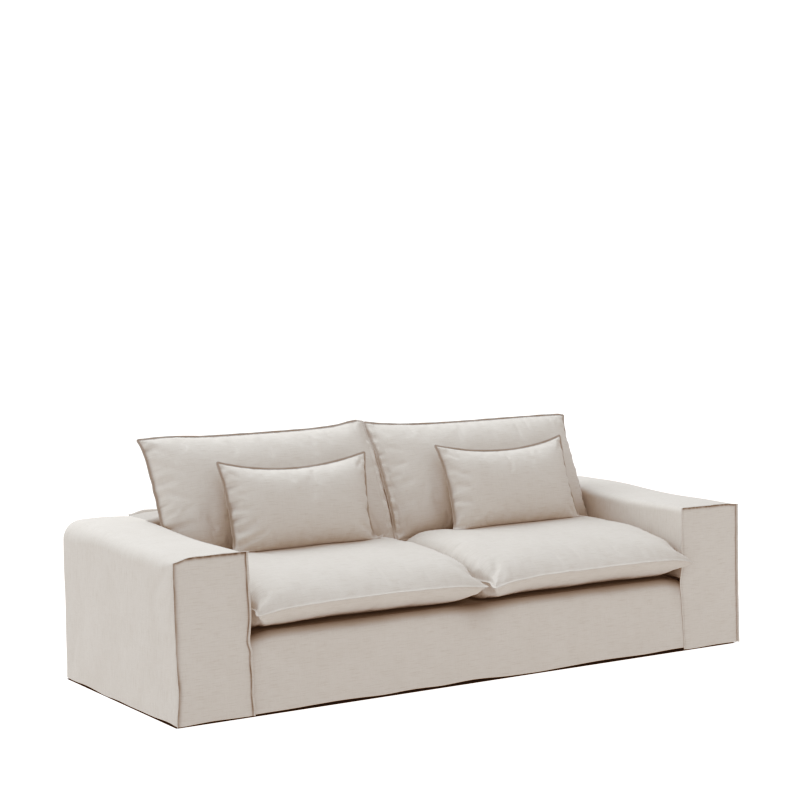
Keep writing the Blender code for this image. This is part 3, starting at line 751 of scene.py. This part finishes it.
BACK_HEIGHT = 0.594
BACK_ROUND = 0.028
BACK_SHOULDER = 0.075           # the top falls to the arms over this width
BACK_FRONT_Y = REAR_Y - BACK_THICKNESS
OUTSIDE_BACK_CREASES = (
    (-1100, 480, -900, 100, 50, 3), (-620, 580, -700, 50, 55, 3.4), (-200, 40, -260, 500, 60, 3.2),
    (180, 580, 300, 200, 50, 3.4), (620, 30, 560, 500, 60, 3), (980, 460, 1080, 60, 45, 3.2),
    (-930, 560, -600, 400, 30, 2.8), (930, 560, 660, 420, 30, 2.8))


def back_top(x):
    beside = arm_top("left" if x < 0.0 else "right", COVER_DEPTH)
    return mix(beside, BACK_HEIGHT, ease((INNER_X - abs(x)) / BACK_SHOULDER))


def inside_back():
    edge = INNER_X - SEAM_GAP
    columns = [station - edge for station in spaced(2 * edge, 0.012)]
    rows = [("front", index / 20) for index in range(21)]
    rows += [("round", angle) for angle in (15, 30, 45, 60, 75, 90)]
    rows += [("top", index / 11) for index in range(1, 12)]

    def point(row, column):
        kind, value = row
        top = back_top(column)
        angle = 0.0 if kind == "front" else math.radians(value) if kind == "round" else math.pi / 2
        y = BACK_FRONT_Y + BACK_ROUND * (1.0 - math.cos(angle))
        z = top - BACK_ROUND * (1.0 - math.sin(angle))
        fade = ease((INNER_X - abs(column)) / 0.04)
        if kind == "front":
            z = mix(DECK_HEIGHT - LINEN, top - BACK_ROUND, value)
        if kind == "top":
            y = mix(BACK_FRONT_Y + BACK_ROUND, REAR_Y - LINEN - SEAM_GAP, value)
            z += rumple(49, column, y, 0.09, 0.0026) * fade * math.sin(math.pi * value)
        return column, y, z

    def seam_share(row, column):
        """Painted shade: the shoulders lie in the shade between the arms and the back cushions."""
        return 0.30 * ease((abs(column) - INNER_X + 0.16) / 0.08) if row[0] != "front" else 0.0

    made = cloth_piece("linen_inside_back", rows, columns, point, (0.0, -1.0, 0.0), seam_share=seam_share)
    fitted_panel("inside_back", made)


def outside_back():
    edge = HALF_WIDTH - REAR_ROUND - REAR_TURN - SEAM_GAP
    step = INNER_X - SEAM_GAP
    corner = ARM_REAR_ROUND - REAR_ROUND - REAR_TURN + SEAM_GAP
    half = [step * index / 72 for index in range(73)]
    half += [mix(step, edge - corner, index / 17) for index in range(1, 18)]
    half += [edge - corner * (1.0 - math.sin(math.radians(angle))) for angle in (15, 30, 45, 60, 75, 90)]
    columns = [-x for x in half[:0:-1]] + half
    arm_seam = ARM_HEIGHT - REAR_ROUND
    rows = [("face", station) for station in spaced(arm_seam, 0.013)[:-1]]
    rows += [("arm seam", 0.0), ("top", 0.34), ("top", 0.67), ("top", 1.0)]
    rows += [("fin", share) for share in (0.3, 0.65, 1.0)]

    def point(row, column):
        kind, value = row
        y = REAR_Y
        arm = "left" if column < 0.0 else "right"
        seam_height = arm_top(arm, COVER_DEPTH) - REAR_ROUND - REAR_TURN - SEAM_GAP
        into_corner = min(max(abs(column) - (edge - corner), 0.0), corner)
        seam_height -= corner - math.sqrt(max(corner ** 2 - into_corner ** 2, 0.0))
        if kind == "fin":
            wave = 1.0 + ruffle(51, column, 0.07, 0.4) + ruffle(52, column, 0.02, 0.15)
            wave *= 0.3 + 0.7 * ease((INNER_X - abs(column)) / 0.06)
            return column, y + value * FLANGE * 0.6, back_top(column) + value * FLANGE * 0.6 * wave
        if kind == "face":
            z = seam_height * value / arm_seam
            z += hem_height(53, column) * (1.0 - ease(z / 0.06))
        else:
            z = mix(seam_height, back_top(column), value)
        belly = math.sin(math.pi * min(z / BACK_HEIGHT, 1.0)) * math.cos(0.5 * math.pi * column / edge)
        y += 0.003 * belly
        y += rumple(55, column, z, 0.20, 0.0028) * belly
        y += folds(column, z, OUTSIDE_BACK_CREASES) * min(belly * 1.5, 1.0)
        return column, y, z

    def keep(row, column):
        between_arms = -step <= column < step - 1e-6
        return between_arms or row[0] == "face"

    def seam_share(row, _column):
        # A little painted shade on the top seam's fin, darker towards its root.
        return 0.08 * (1.0 - row[1]) if row[0] == "fin" else 0.0

    made = cloth_piece("linen_outside_back", rows, columns, point, (0.0, 1.0, 0.0), keep, seam_share)
    fitted_panel("outside_back", made)


inside_back()
outside_back()


# ================================================================ seat cushions
# Two deep cushions of soft filling in the same linen, each two panels in one turned-out seam that
# runs round at half height. They overhang the apron, and their front corners end in small ears.

CUSHION_FLANGE = 0.008
CUSHION_FLANGE_THICKNESS = 0.0024
FLANGE_ROOT = 0.55              # share of that thickness at the seam
FLANGE_CORNER = 0.75            # its corners are cut back a little
CUSHION_CLEARANCE = 0.0010
CUSHION_LIMIT_X = INNER_X - 0.004
CUSHION_MIDDLE_GAP = 0.0004
BACK_CUSHION_Y = FRONT_Y + 0.540        # behind this the seats are pressed down by the back cushions
SEAT_PRESSED = 0.028
SEAT_PRESS_WIDTH = 0.045
SEAT_OVERHANG = 0.064
SEAT_SEAM_HEIGHT = 0.378
LUMBAR_DENTS = ((-0.45, 0.012), (0.49, 0.008))      # middle, depth
BACK_REST_GAP = 0.0008          # from the seats to the low back
SIDE_LIMIT = 1.2                # further out than any cushion reaches
FILLING_STEPS = 20
FILLING = {
    "quality": 5, "mass": 0.25, "tension_stiffness": 18.0, "compression_stiffness": 18.0,
    "shear_stiffness": 6.0, "bending_stiffness": 0.35, "vertex_group_mass": "seam",
    "use_pressure": True, "uniform_pressure_force": 4.0,
}
BROAD_SHARE = 0.85              # of the broad movement that is taken out again
BROAD_PASSES = 60
MOST_MOVEMENT = 0.022           # that the filling's pressure may add anywhere
NEAREST = 0.0022                # the first two lines of a cushion's grid, from the seam in
SECOND = 0.0050
FIN_STEPS = (0.35, 0.7, 1.0)    # rings of the flange, from the seam out
PUCKER = 0.0130                 # how far the seams' short gathers stand out
SEAM_WANDER = 0.0030            # and how far the gathers pull the side seams in and out


def crown(height, across, along, far_squareness=None, dome=0.0):
    """How one face of a cushion swells: its height, and how squarely it rises from the seams."""
    def swell(u, v):
        squareness = np.where(v > 0.0, far_squareness or along[0], along[0])
        rise_across = np.maximum(1.0 - np.abs(u) ** across[0], 0.0) ** across[1]
        rise_along = np.maximum(1.0 - np.abs(v) ** squareness, 0.0) ** along[1]
        return height * rise_across * rise_along * (1.0 - dome * u * u)

    return swell


class Cushion:
    """Shape of one cushion in the plane of its seam: a across, b along, n out of it.

    It also has its name, width, length and seed, its grid's segments, the crowns of its two faces,
    draws, how far the middles of its sides, top and bottom are drawn in, and the ears of its
    corners, {(side, end): (across, along, out, sharpness)}.
    """

    pinch = (0.0, 0.0, 1.0)         # (how far, where along, how wide) both sides step in
    tuck = (1.0, 0.0, -1.0, -0.9)   # (side, how far, full below, none above) one side steps in
    brows = ()                      # (where across, how wide, how high) the top seam bulges up
    ahead = (1.0, 0.0)              # (side, how far) that side's seam lies in front of the others
    droop = 0.0                     # how far the flange's edge hangs below its root
    roll = 0.004                    # the filling swells this much right beside the seam
    pale = (1.0, 0.0)               # (side, share) its flange gets less painted shade, beside the next cushion

    def __init__(self, name, **shape):
        self.name = name
        vars(self).update(shape)

    def seam_ahead(self, u, v):
        side, how_far = self.ahead
        beside = smooth_step((u * side - 0.80) / 0.20)
        lower = 1.0 - 0.5 * smooth_step((-0.5 - v) / 0.5)
        return how_far * beside * lower * (1.0 - 0.8 * smooth_step((v - 0.4) / 0.6))


def smooth_step(values):
    values = np.clip(values, 0.0, 1.0)
    return values * values * (3.0 - 2.0 * values)


def noise_field(seed, a, b, step, size):
    flat = [rumple(seed, x, y, step, size) for x, y in zip(a.ravel(), b.ravel())]
    return np.array(flat).reshape(a.shape)


def crease_field(a, b, creases):
    flat = [folds(x, y, creases) for x, y in zip(a.ravel(), b.ravel())]
    return np.array(flat).reshape(a.shape)


def seam_plane(cushion, u, v):
    """Places in the seam's plane of the shares (u, v), each -1 to 1 from seam to seam."""
    step_in, where, reach = cushion.pinch
    narrower = step_in * np.exp(-((v - where) / reach) ** 2)
    tuck_side, tuck_in, full_below, none_above = cushion.tuck
    tucked = tuck_in * (1.0 - smooth_step((v - full_below) / (none_above - full_below)))
    narrower = narrower + np.where(u * tuck_side > 0.0, tucked, 0.0)
    draw_side, draw_top, draw_bottom = cushion.draws
    a = u * (cushion.width / 2 - draw_side * (1.0 - v * v) - narrower)
    b = v * (cushion.length / 2 - np.where(v > 0.0, draw_top, draw_bottom) * (1.0 - u * u))
    gathered = noise_field(cushion.seed + 11, b, 0.0 * b, 0.034, SEAM_WANDER)
    a = a + gathered * np.sign(u) * np.abs(u) ** 24 * smooth_step(4.0 * (1.0 - np.abs(v)))
    for where, reach, height in cushion.brows:
        b = b + height * np.exp(-((u - where) / reach) ** 2) * smooth_step((v - 0.2) / 0.8)
    n = cushion.seam_ahead(u, v)
    for (side, end), (across, along, out, sharpness) in cushion.ears.items():
        near = (np.maximum(u * side, 0.0) * np.maximum(v * end, 0.0)) ** sharpness
        a, b, n = a + across * near, b + along * near, n + out * near
    return a, b, n


def stations(count, span):
    """Shares -1 to 1 of a span, closer together near the seams."""
    even = np.linspace(-1.0, 1.0, count - 1)
    drawn = (1.0 - 2.0 * SECOND / span) * (0.5 * even + 0.5 * np.sin(0.5 * math.pi * even))
    close = 1.0 - 2.0 * NEAREST / span
    return np.concatenate(((-1.0, -close), drawn, (close, 1.0)))


def closed_cover(front, rear):
    """Points and faces of two grids that share their border."""
    rows, columns, _ = front.shape
    index_front = np.arange(rows * columns).reshape(rows, columns)
    index_rear = index_front.copy()
    inner = (rows - 2) * (columns - 2)
    index_rear[1:-1, 1:-1] = rows * columns + np.arange(inner).reshape(rows - 2, columns - 2)
    points = np.concatenate((front.reshape(-1, 3), rear[1:-1, 1:-1].reshape(-1, 3)))
    faces = []
    for index, turned in ((index_front, False), (index_rear, True)):
        corners = [index[:-1, :-1], index[:-1, 1:], index[1:, 1:], index[1:, :-1]]
        if turned:
            corners.reverse()
        faces += np.stack(corners, axis=-1).reshape(-1, 4).tolist()
    return points, faces, index_front, index_rear


def smoothed(field, passes):
    """Evens a grid of movements out; the border stays at rest."""
    result = field.copy()
    for _ in range(passes):
        padded = np.pad(result, ((1, 1), (1, 1), (0, 0)), mode="edge")
        result = (padded[:-2, 1:-1] + padded[2:, 1:-1] + padded[1:-1, :-2] + padded[1:-1, 2:]) / 4.0
        result[0], result[-1], result[:, 0], result[:, -1] = 0.0, 0.0, 0.0, 0.0
    return result


def filled(name, front, rear, looser):
    """Presses the filling against the linen. The cut is larger than the seam, so it puckers there.

    Broad movement is taken out again, so that the cushion keeps its size; the creases stay.
    """
    points, faces, index_front, index_rear = closed_cover(front, rear)
    mesh = bpy.data.meshes.new(name + "_cover")
    mesh.from_pydata(points.tolist(), [], faces)
    cover = bpy.data.objects.new(name + "_cover", mesh)
    bpy.context.scene.collection.objects.link(cover)
    border = np.concatenate((index_front[0], index_front[-1], index_front[:, 0], index_front[:, -1]))
    held = cover.vertex_groups.new(name="seam")
    held.add(sorted(set(border.tolist())), 1.0, "REPLACE")
    blown = cover.modifiers.new("filling", "CLOTH")
    for setting, value in (*FILLING.items(), ("shrink_min", -looser), ("shrink_max", -looser)):
        setattr(blown.settings, setting, value)
    blown.settings.effector_weights.gravity = 0.0
    blown.collision_settings.use_collision = False
    blown.point_cache.frame_start = 1
    blown.point_cache.frame_end = FILLING_STEPS
    for step in range(1, FILLING_STEPS + 1):
        bpy.context.scene.frame_set(step)
    settled = cover.evaluated_get(bpy.context.evaluated_depsgraph_get()).data
    moved = np.empty(len(settled.vertices) * 3, dtype=np.float32)
    settled.vertices.foreach_get("co", moved)
    moved = moved.reshape(-1, 3).astype(float)
    bpy.context.scene.frame_set(1)
    bpy.data.objects.remove(cover, do_unlink=True)
    result = []
    for start, index in ((front, index_front), (rear, index_rear)):
        change = moved[index] - start
        creased = change - BROAD_SHARE * smoothed(change, BROAD_PASSES)
        size = np.linalg.norm(creased, axis=-1, keepdims=True)
        creased *= np.minimum(1.0, MOST_MOVEMENT / np.maximum(size, 1e-9))
        result.append(start + creased)
    return result


def puckers(cushion, u, v, a, b, face):
    """Short gathers that run square to each seam and fade within 40 mm of it."""
    to_side = (1.0 - np.abs(u)) * cushion.width / 2.0
    to_end = (1.0 - np.abs(v)) * cushion.length / 2.0
    beside = noise_field(cushion.seed + 5 * face, 0.25 * a, b, 0.021, PUCKER)
    above = noise_field(cushion.seed + 7 * face, a, 0.25 * b, 0.019, PUCKER)
    return beside * np.exp(-to_side / 0.020) + 0.35 * above * np.exp(-to_end / 0.014)


def cushion_shape(cushion, place, looser, worn, relief, sink=None):
    """Closed bmesh of a cushion: both faces, creased by the filling, and the flange of its seam.

    looser is how much larger the linen is cut. The other share sets how dark the flange is, partly by its
    doubled cloth's own tone and partly by painted shade, and how much painted shade lies in the gathers and
    the groove beside the seam.
    """
    across_count, along_count = cushion.segments
    u, v = np.meshgrid(stations(across_count, cushion.width), stations(along_count, cushion.length))
    a, b, n = seam_plane(cushion, u, v)
    from_seam = np.minimum((1.0 - np.abs(u)) * cushion.width, (1.0 - np.abs(v)) * cushion.length) / 2.0
    sides = []
    for face, swelling in zip((1.0, -1.0), cushion.crowns):
        swell = swelling(u, v) + cushion.roll * (1.0 - np.exp(-from_seam / 0.007))
        swell -= face * cushion.seam_ahead(u, v) * smooth_step(from_seam / 0.02)
        uneven = noise_field(cushion.seed + face, a, b, 0.17, 0.006)
        uneven += noise_field(cushion.seed + 3 * face, a, b, 0.060, 0.0012)
        swell = np.maximum(swell + uneven * smooth_step(from_seam / 0.07), 0.0)
        swell = swell + puckers(cushion, u, v, a, b, face) * smooth_step(from_seam / 0.006)
        if face > 0.0:
            swell = np.maximum(swell + crease_field(a, b, relief) * smooth_step(from_seam / 0.012), 0.0)
        height = n + face * swell
        if sink is not None:
            height = sink(a, b, height)
        sides.append(place(a, b, height))
    front, rear = filled(cushion.name, *sides, looser)

    # The flange: rings beyond the border, whose two layers close at the outermost.
    rings = len(FIN_STEPS)
    outward = np.array(FIN_STEPS) * CUSHION_FLANGE
    rows, columns = u.shape
    across_out = np.concatenate((-outward[::-1], np.zeros(columns), outward))
    along_out = np.concatenate((-outward[::-1], np.zeros(rows), outward))
    spread = np.ix_(np.clip(np.arange(rows + 2 * rings) - rings, 0, rows - 1),
                    np.clip(np.arange(columns + 2 * rings) - rings, 0, columns - 1))
    out_a, out_b = np.meshgrid(across_out, along_out)
    at_corner = (out_a != 0.0) & (out_b != 0.0)
    out_a = np.where(at_corner, FLANGE_CORNER * out_a, out_a)
    out_b = np.where(at_corner, FLANGE_CORNER * out_b, out_b)
    base_a, base_b, base_n = a[spread], b[spread], n[spread]
    out = np.maximum(np.abs(out_a), np.abs(out_b))
    wave = noise_field(cushion.seed, base_a + 1.7 * base_b, 0.0 * base_a, 0.05, 0.0030)
    wave += noise_field(cushion.seed + 2, base_a + 1.7 * base_b, 0.0 * base_a, 0.017, 0.0012)
    base_n = base_n + (wave - cushion.droop) * out / CUSHION_FLANGE
    flange = out > 0.0
    corner = a[:1, :1], b[:1, :1], n[:1, :1]
    upward = (place(corner[0], corner[1], corner[2] + 1.0) - place(*corner))[0, 0]
    half = CUSHION_FLANGE_THICKNESS / 2.0
    lifts = half * (FLANGE_ROOT + (1.0 - FLANGE_ROOT) * out / CUSHION_FLANGE)
    grids = []
    for face, cover in ((1.0, front), (-1.0, rear)):
        ring = place(base_a + out_a, base_b + out_b, base_n + face * lifts)
        body = cover[spread]
        border = np.zeros((rows + 2 * rings, columns + 2 * rings), bool)
        border[rings:-rings, rings:-rings] = True
        border[rings + 1:-rings - 1, rings + 1:-rings - 1] = False
        body = body + border[..., None] * face * half * FLANGE_ROOT * upward
        grids.append(np.where(flange[..., None], ring, body))
    map_a, map_b = base_a + out_a, base_b + out_b
    # Painted shade in the puckers' gathers and in the groove right beside the seam; the flange is darker
    # partly by its doubled cloth's own tone, partly by painted shade. Less of it along the bottom seam, and
    # on the flange beside the next cushion.
    gathers = np.maximum(-2.5 * puckers(cushion, u, v, a, b, 1.0) / PUCKER - 0.2, 0.0)
    gathers = gathers[spread]
    groove = np.exp(-(from_seam[spread] / 0.0018) ** 2)
    on_flange = 1.15 - 0.45 * out / CUSHION_FLANGE
    seam_share = worn * np.where(flange, on_flange, np.clip(0.9 * gathers + groove, 0.0, 1.0))
    seam_share *= 1.0 - 0.75 * smooth_step((-0.80 - v[spread]) / 0.15)
    pale_side, paler = cushion.pale
    seam_share *= 1.0 - paler * (u[spread] * pale_side > 0.95)
    return woven_shape(grids, map_a, map_b, seam_share)


def woven_shape(grids, map_a, map_b, seam_share):
    shape = bmesh.new()
    cloth_map = shape.loops.layers.uv.new("cloth")
    seam = shape.verts.layers.float.new("seam")
    rows, columns = map_a.shape
    layers = []
    for grid in grids:
        layer = [[shape.verts.new(point) for point in line] for line in grid.tolist()]
        for i in range(rows):
            for j in range(columns):
                layer[i][j][seam] = seam_share[i, j]
        layers.append(layer)

    def face(corners):
        made = shape.faces.new([layers[side][i][j] for side, i, j in corners])
        for loop, (side, i, j) in zip(made.loops, corners):
            loop[cloth_map].uv = (map_a[i, j] + 3.0 * side, map_b[i, j])

    for i in range(rows - 1):
        for j in range(columns - 1):
            face(((0, i, j), (0, i, j + 1), (0, i + 1, j + 1), (0, i + 1, j)))
            face(((1, i, j), (1, i + 1, j), (1, i + 1, j + 1), (1, i, j + 1)))
    rim = [(0, j) for j in range(columns - 1)] + [(i, columns - 1) for i in range(rows - 1)]
    rim += [(rows - 1, j) for j in range(columns - 1, 0, -1)] + [(i, 0) for i in range(rows - 1, 0, -1)]
    for (i, j), (k, m) in zip(rim, rim[1:] + rim[:1]):
        face(((0, i, j), (1, i, j), (1, k, m), (0, k, m)))
    bmesh.ops.recalc_face_normals(shape, faces=shape.faces)
    return shape


def settle(shape, carrier, towards, gap, reach=0.40):
    """Presses a shape back where it would sink into its carrier, leaving a gap."""
    direction = Vector(towards)
    for vertex in shape.verts:
        start = vertex.co - direction * reach
        hit, _normal, _index, distance = carrier.ray_cast(start, direction, reach + gap)
        if hit is not None and distance < reach + gap:
            vertex.co -= direction * (reach + gap - distance)


def keep_off(shape, limits):
    """Presses a shape flat against upright and level planes: {axis: (lowest, highest)}."""
    for vertex in shape.verts:
        for axis, (low, high) in limits.items():
            vertex.co[axis] = min(max(vertex.co[axis], low), high)


def padded_piece(node, shape):
    piece = to_object("linen_" + node, shape)
    finer = piece.modifiers.new("finer", "SUBSURF")
    finer.levels = finer.render_levels = 1
    finer.boundary_smooth = "PRESERVE_CORNERS"
    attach(piece, "root")
    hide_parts(node)
    return piece


def tree_of(*pieces):
    depsgraph = bpy.context.evaluated_depsgraph_get()
    points = []
    faces = []
    for piece in pieces:
        mesh = piece.evaluated_get(depsgraph).data
        first = len(points)
        points += [vertex.co.copy() for vertex in mesh.vertices]
        faces += [[first + index for index in face.vertices] for face in mesh.polygons]
    return BVHTree.FromPolygons(points, faces)


SEATS = {
    # node: (side, ears, seed, creases)
    "seat_cushion_left": (-1.0, {
        (-1, -1): (0.006, 0.012, -0.024, 4), (1, -1): (0, -0.002, -0.018, 4)}, 61.0, (
        (-455, -405, -360, -330, 10, 6), (-455, -395, -420, -280, 10, 6), (455, -410, 380, -320, 11, 7),
        (458, -400, 425, -260, 10, 7), (452, -405, 330, -360, 10, 4))),
    "seat_cushion_right": (1.0, {
        (-1, -1): (0.012, -0.01, -0.024, 4), (1, -1): (0.02, 0.004, -0.026, 8)}, 62.0, (
        (-450, -415, -370, -330, 11, 8), (-452, -405, -415, -270, 10, 7), (-448, -415, -330, -370, 10, 5),
        (465, -410, 380, -330, 12, 5), (462, -400, 430, -280, 10, 5))),
}


def seat_cushion(node, side, ears, seed, creases):
    depth = BACK_FRONT_Y - BACK_REST_GAP - FRONT_Y + SEAT_OVERHANG - 2 * CUSHION_FLANGE
    width = CUSHION_LIMIT_X - CUSHION_MIDDLE_GAP - 2 * CUSHION_FLANGE
    centre_x = side * (CUSHION_LIMIT_X + CUSHION_MIDDLE_GAP) / 2
    centre_y = FRONT_Y - SEAT_OVERHANG + CUSHION_FLANGE + depth / 2
    at_arm_front = 2.0 * (SEAT_OVERHANG - FLANGE) / depth - 1.0
    crowns = (crown(0.101, (10.0, 0.36), (2.0, 0.75), far_squareness=6.0, dome=0.06),
              crown(0.111, (26.0, 0.36), (2.2, 0.63)))
    cushion = Cushion(node, width=width, length=depth, crowns=crowns, draws=(0.0, 0.0, 0.004), ears=ears,
                      segments=(84, 72), seed=seed, pinch=(0.021, at_arm_front, 0.085),
                      droop=0.0035, roll=0.010)

    def place(a, b, n):
        return np.stack((centre_x + a, centre_y + b, SEAT_SEAM_HEIGHT + n), axis=-1)

    def sink(a, b, n):
        """The back cushion and the lumbar cushion press the seat down, and the deck holds it up."""
        x, y = centre_x + a, centre_y + b
        pressed = SEAT_PRESSED * smooth_step((y - BACK_CUSHION_Y) / SEAT_PRESS_WIDTH)
        for middle, dent in LUMBAR_DENTS:
            across = smooth_step(3.0 * (1.0 - np.abs(x - middle) / 0.38))
            pressed = pressed + dent * across * smooth_step(2.0 * (1.0 - np.abs(y - FRONT_Y - 0.45) / 0.13))
        n = np.minimum(n, np.maximum(n - pressed, 0.012))
        return np.maximum(n, DECK_HEIGHT + CUSHION_CLEARANCE - SEAT_SEAM_HEIGHT)

    shape = cushion_shape(cushion, place, looser=0.006, worn=0.10, relief=creases, sink=sink)
    limits = (-SIDE_LIMIT, -CUSHION_MIDDLE_GAP) if side < 0.0 else (CUSHION_MIDDLE_GAP, SIDE_LIMIT)
    depth_limits = (-1.0, BACK_FRONT_Y - BACK_REST_GAP)
    keep_off(shape, {0: limits, 1: depth_limits, 2: (DECK_HEIGHT + CUSHION_CLEARANCE, 1.0)})
    return padded_piece(node, shape)


seats = [seat_cushion(node, *values) for node, values in SEATS.items()]


# ================================================================ back cushions
# Two wide cushions that stand on the seats and lean on the low back. Two panels each, in one
# turned-out seam; the filling is soft, so their tops sag between the corners and the seams pucker.

BACK_FOOT = (FRONT_Y + 0.5893, 0.4537)      # y and z of the seam's lowest line
BACK_HEAD = (FRONT_Y + 0.795, 0.880)
BACKS_MEET = -0.0065
BACKS = {
    # node: (middle, width, length, side that is tucked behind its arm, how far, how far the other
    # side's seam lies ahead, how much less painted shade its flange has, brows, ears, seed, creases)
    "back_cushion_left": (-0.4805, 0.93, 0.472, -1.0, 0.014, 0.029, 0.8,
        ((-0.78, 0.2, 0.007), (0.88, 0.1, 0.004), (1.0, 0.035, -0.009)),
        {(-1, 1): (-0.022, 0, 0, 4), (1, 1): (0, 0.018, 0.006, 4), (1, -1): (0, -0.02, 0, 14)},
        71.0, (
        (-462, 215, -380, 120, 12, 6), (-452, 120, -330, 60, 12, 5), (-448, 20, -360, -40, 12, 5),
        (-325, -20, -290, -200, 30, 12), (-345, -100, -180, -190, 24, 8), (455, 225, 380, 160, 12, 5),
        (455, 60, 360, 20, 12, 4))),
    "back_cushion_right": (0.467, 0.931, 0.461, 1.0, 0.003, 0.03, 0.3,
        ((-0.8, 0.2, 0.002), (1.0, 0.025, -0.004)),
        {(-1, 1): (0, 0.02, -0.006, 4), (1, 1): (0.021, -0.004, 0, 4), (-1, -1): (0, -0.02, 0, 14)},
        72.0, (
        (-450, 225, -370, 150, 12, 6), (-448, 130, -350, 90, 11, 5), (-445, 50, -360, 40, 11, 5),
        (-445, -40, -350, -20, 12, 6), (-448, -120, -330, -80, 13, 6), (-300, 0, -270, -190, 30, 10),
        (455, 215, 380, 150, 11, 5))),
}


def leaning_place(cushion_length, bottom, top, centre_x):
    """Places on a seam plane that runs from bottom (y, z) to top (y, z)."""
    foot = np.array((centre_x, bottom[0], bottom[1]))
    upward = np.array((0.0, top[0] - bottom[0], top[1] - bottom[1]))
    upward /= np.linalg.norm(upward)
    out = np.cross((1.0, 0.0, 0.0), upward)

    def place(a, b, n):
        along = upward * (cushion_length / 2 + b[..., None])
        return foot + a[..., None] * np.array((1.0, 0.0, 0.0)) + along + out * n[..., None]

    return place


seat_tree = tree_of(*seats)
backs = []
for node, values in BACKS.items():
    middle, width, length, tuck_side, tuck_in, ahead, paler, brows, ears, seed, creases = values
    both_faces = crown(0.101, (5.0, 0.62), (2.6, 0.62))
    cushion = Cushion(node, width=width, length=length, crowns=(both_faces, both_faces),
                      draws=(0.001, 0.004, 0.0), ears=ears, segments=(120, 66), seed=seed,
                      tuck=(tuck_side, tuck_in, -0.50, -0.43), brows=brows, ahead=(-tuck_side, ahead),
                      pale=(-tuck_side, paler))
    place = leaning_place(length, BACK_FOOT, BACK_HEAD, middle)
    shape = cushion_shape(cushion, place, looser=0.010, worn=0.60, relief=creases)
    settle(shape, seat_tree, (0.0, 0.0, -1.0), CUSHION_CLEARANCE)
    left_limits = (-SIDE_LIMIT, BACKS_MEET - 2 * CUSHION_MIDDLE_GAP)
    keep_off(shape, {0: left_limits if tuck_side < 0.0 else (BACKS_MEET, SIDE_LIMIT)})
    backs.append(padded_piece(node, shape))


# ================================================================ lumbar cushions
# Two small oblong cushions of the same make, one leaning on each back cushion. They are filled
# loosely: the top seam sags between its corners, and the lower corners fold under.

LUMBAR_FOOT = (FRONT_Y + 0.4525, 0.4775)
LUMBAR_HEAD = (FRONT_Y + 0.575, 0.800)
LUMBAR_LENGTH = 0.342
LUMBAR_CLEARANCE = 0.0018
LUMBARS = {
    # node: (middle, width, taper, how far the top sags, ears, seed, creases)
    "lumbar_cushion_left": (-0.449, 0.61, 0.022, 0.04, {
        (-1, 1): (0, 0.004, 0, 4), (1, 1): (0.006, 0, 0, 4),
        (-1, -1): (-0.02, 0.006, 0.028, 14), (1, -1): (0.022, 0.018, 0.024, 20)}, 81.0, (
        (-300, 155, -240, 90, 10, 6), (-290, 60, -230, 30, 10, 5), (-288, -10, -235, -20, 9, 5),
        (-300, -150, -170, -95, 11, 12), (-302, -120, -190, -100, 8, -6), (-298, -110, -200, -50, 10, 8),
        (-280, -165, -150, -140, 10, 8), (292, -150, 190, -105, 10, 11), (280, -150, 245, -60, 9, 8),
        (295, 150, 230, 100, 11, 6))),
    "lumbar_cushion_right": (0.489, 0.585, 0.0, 0.036, {
        (-1, -1): (-0.018, 0, 0.008, 12), (-1, 1): (-0.008, 0.004, 0, 4),
        (1, 1): (0, 0.006, 0, 4), (1, -1): (0.014, 0.004, 0.012, 18)}, 82.0, (
        (-285, 155, -220, 90, 11, 7), (-272, 70, -210, 30, 11, 6), (-272, 10, -215, -10, 10, 6),
        (-275, -60, -220, -70, 10, 5), (-300, -165, -190, -115, 12, 9), (-290, -160, -160, -145, 10, 6),
        (285, 155, 225, 100, 11, 6), (285, -155, 210, -110, 11, 8))),
}

back_tree = tree_of(*backs)
for node, (middle, width, taper, sag, ears, seed, creases) in LUMBARS.items():
    crowns = (crown(0.079, (4.4, 0.68), (2.4, 0.64)), crown(0.055, (2.4, 0.60), (2.4, 0.60)))
    cushion = Cushion(node, width=width, length=LUMBAR_LENGTH, crowns=crowns, draws=(0.014, sag, 0.004),
                      ears=ears, segments=(84, 50), seed=seed, tuck=(1.0, taper, -0.6, 0.6))
    place = leaning_place(LUMBAR_LENGTH, LUMBAR_FOOT, LUMBAR_HEAD, middle)
    shape = cushion_shape(cushion, place, looser=0.012, worn=0.60, relief=creases)
    settle(shape, seat_tree, (0.0, 0.0, -1.0), CUSHION_CLEARANCE)
    settle(shape, back_tree, (0.0, 1.0, 0.0), LUMBAR_CLEARANCE)
    padded_piece(node, shape)
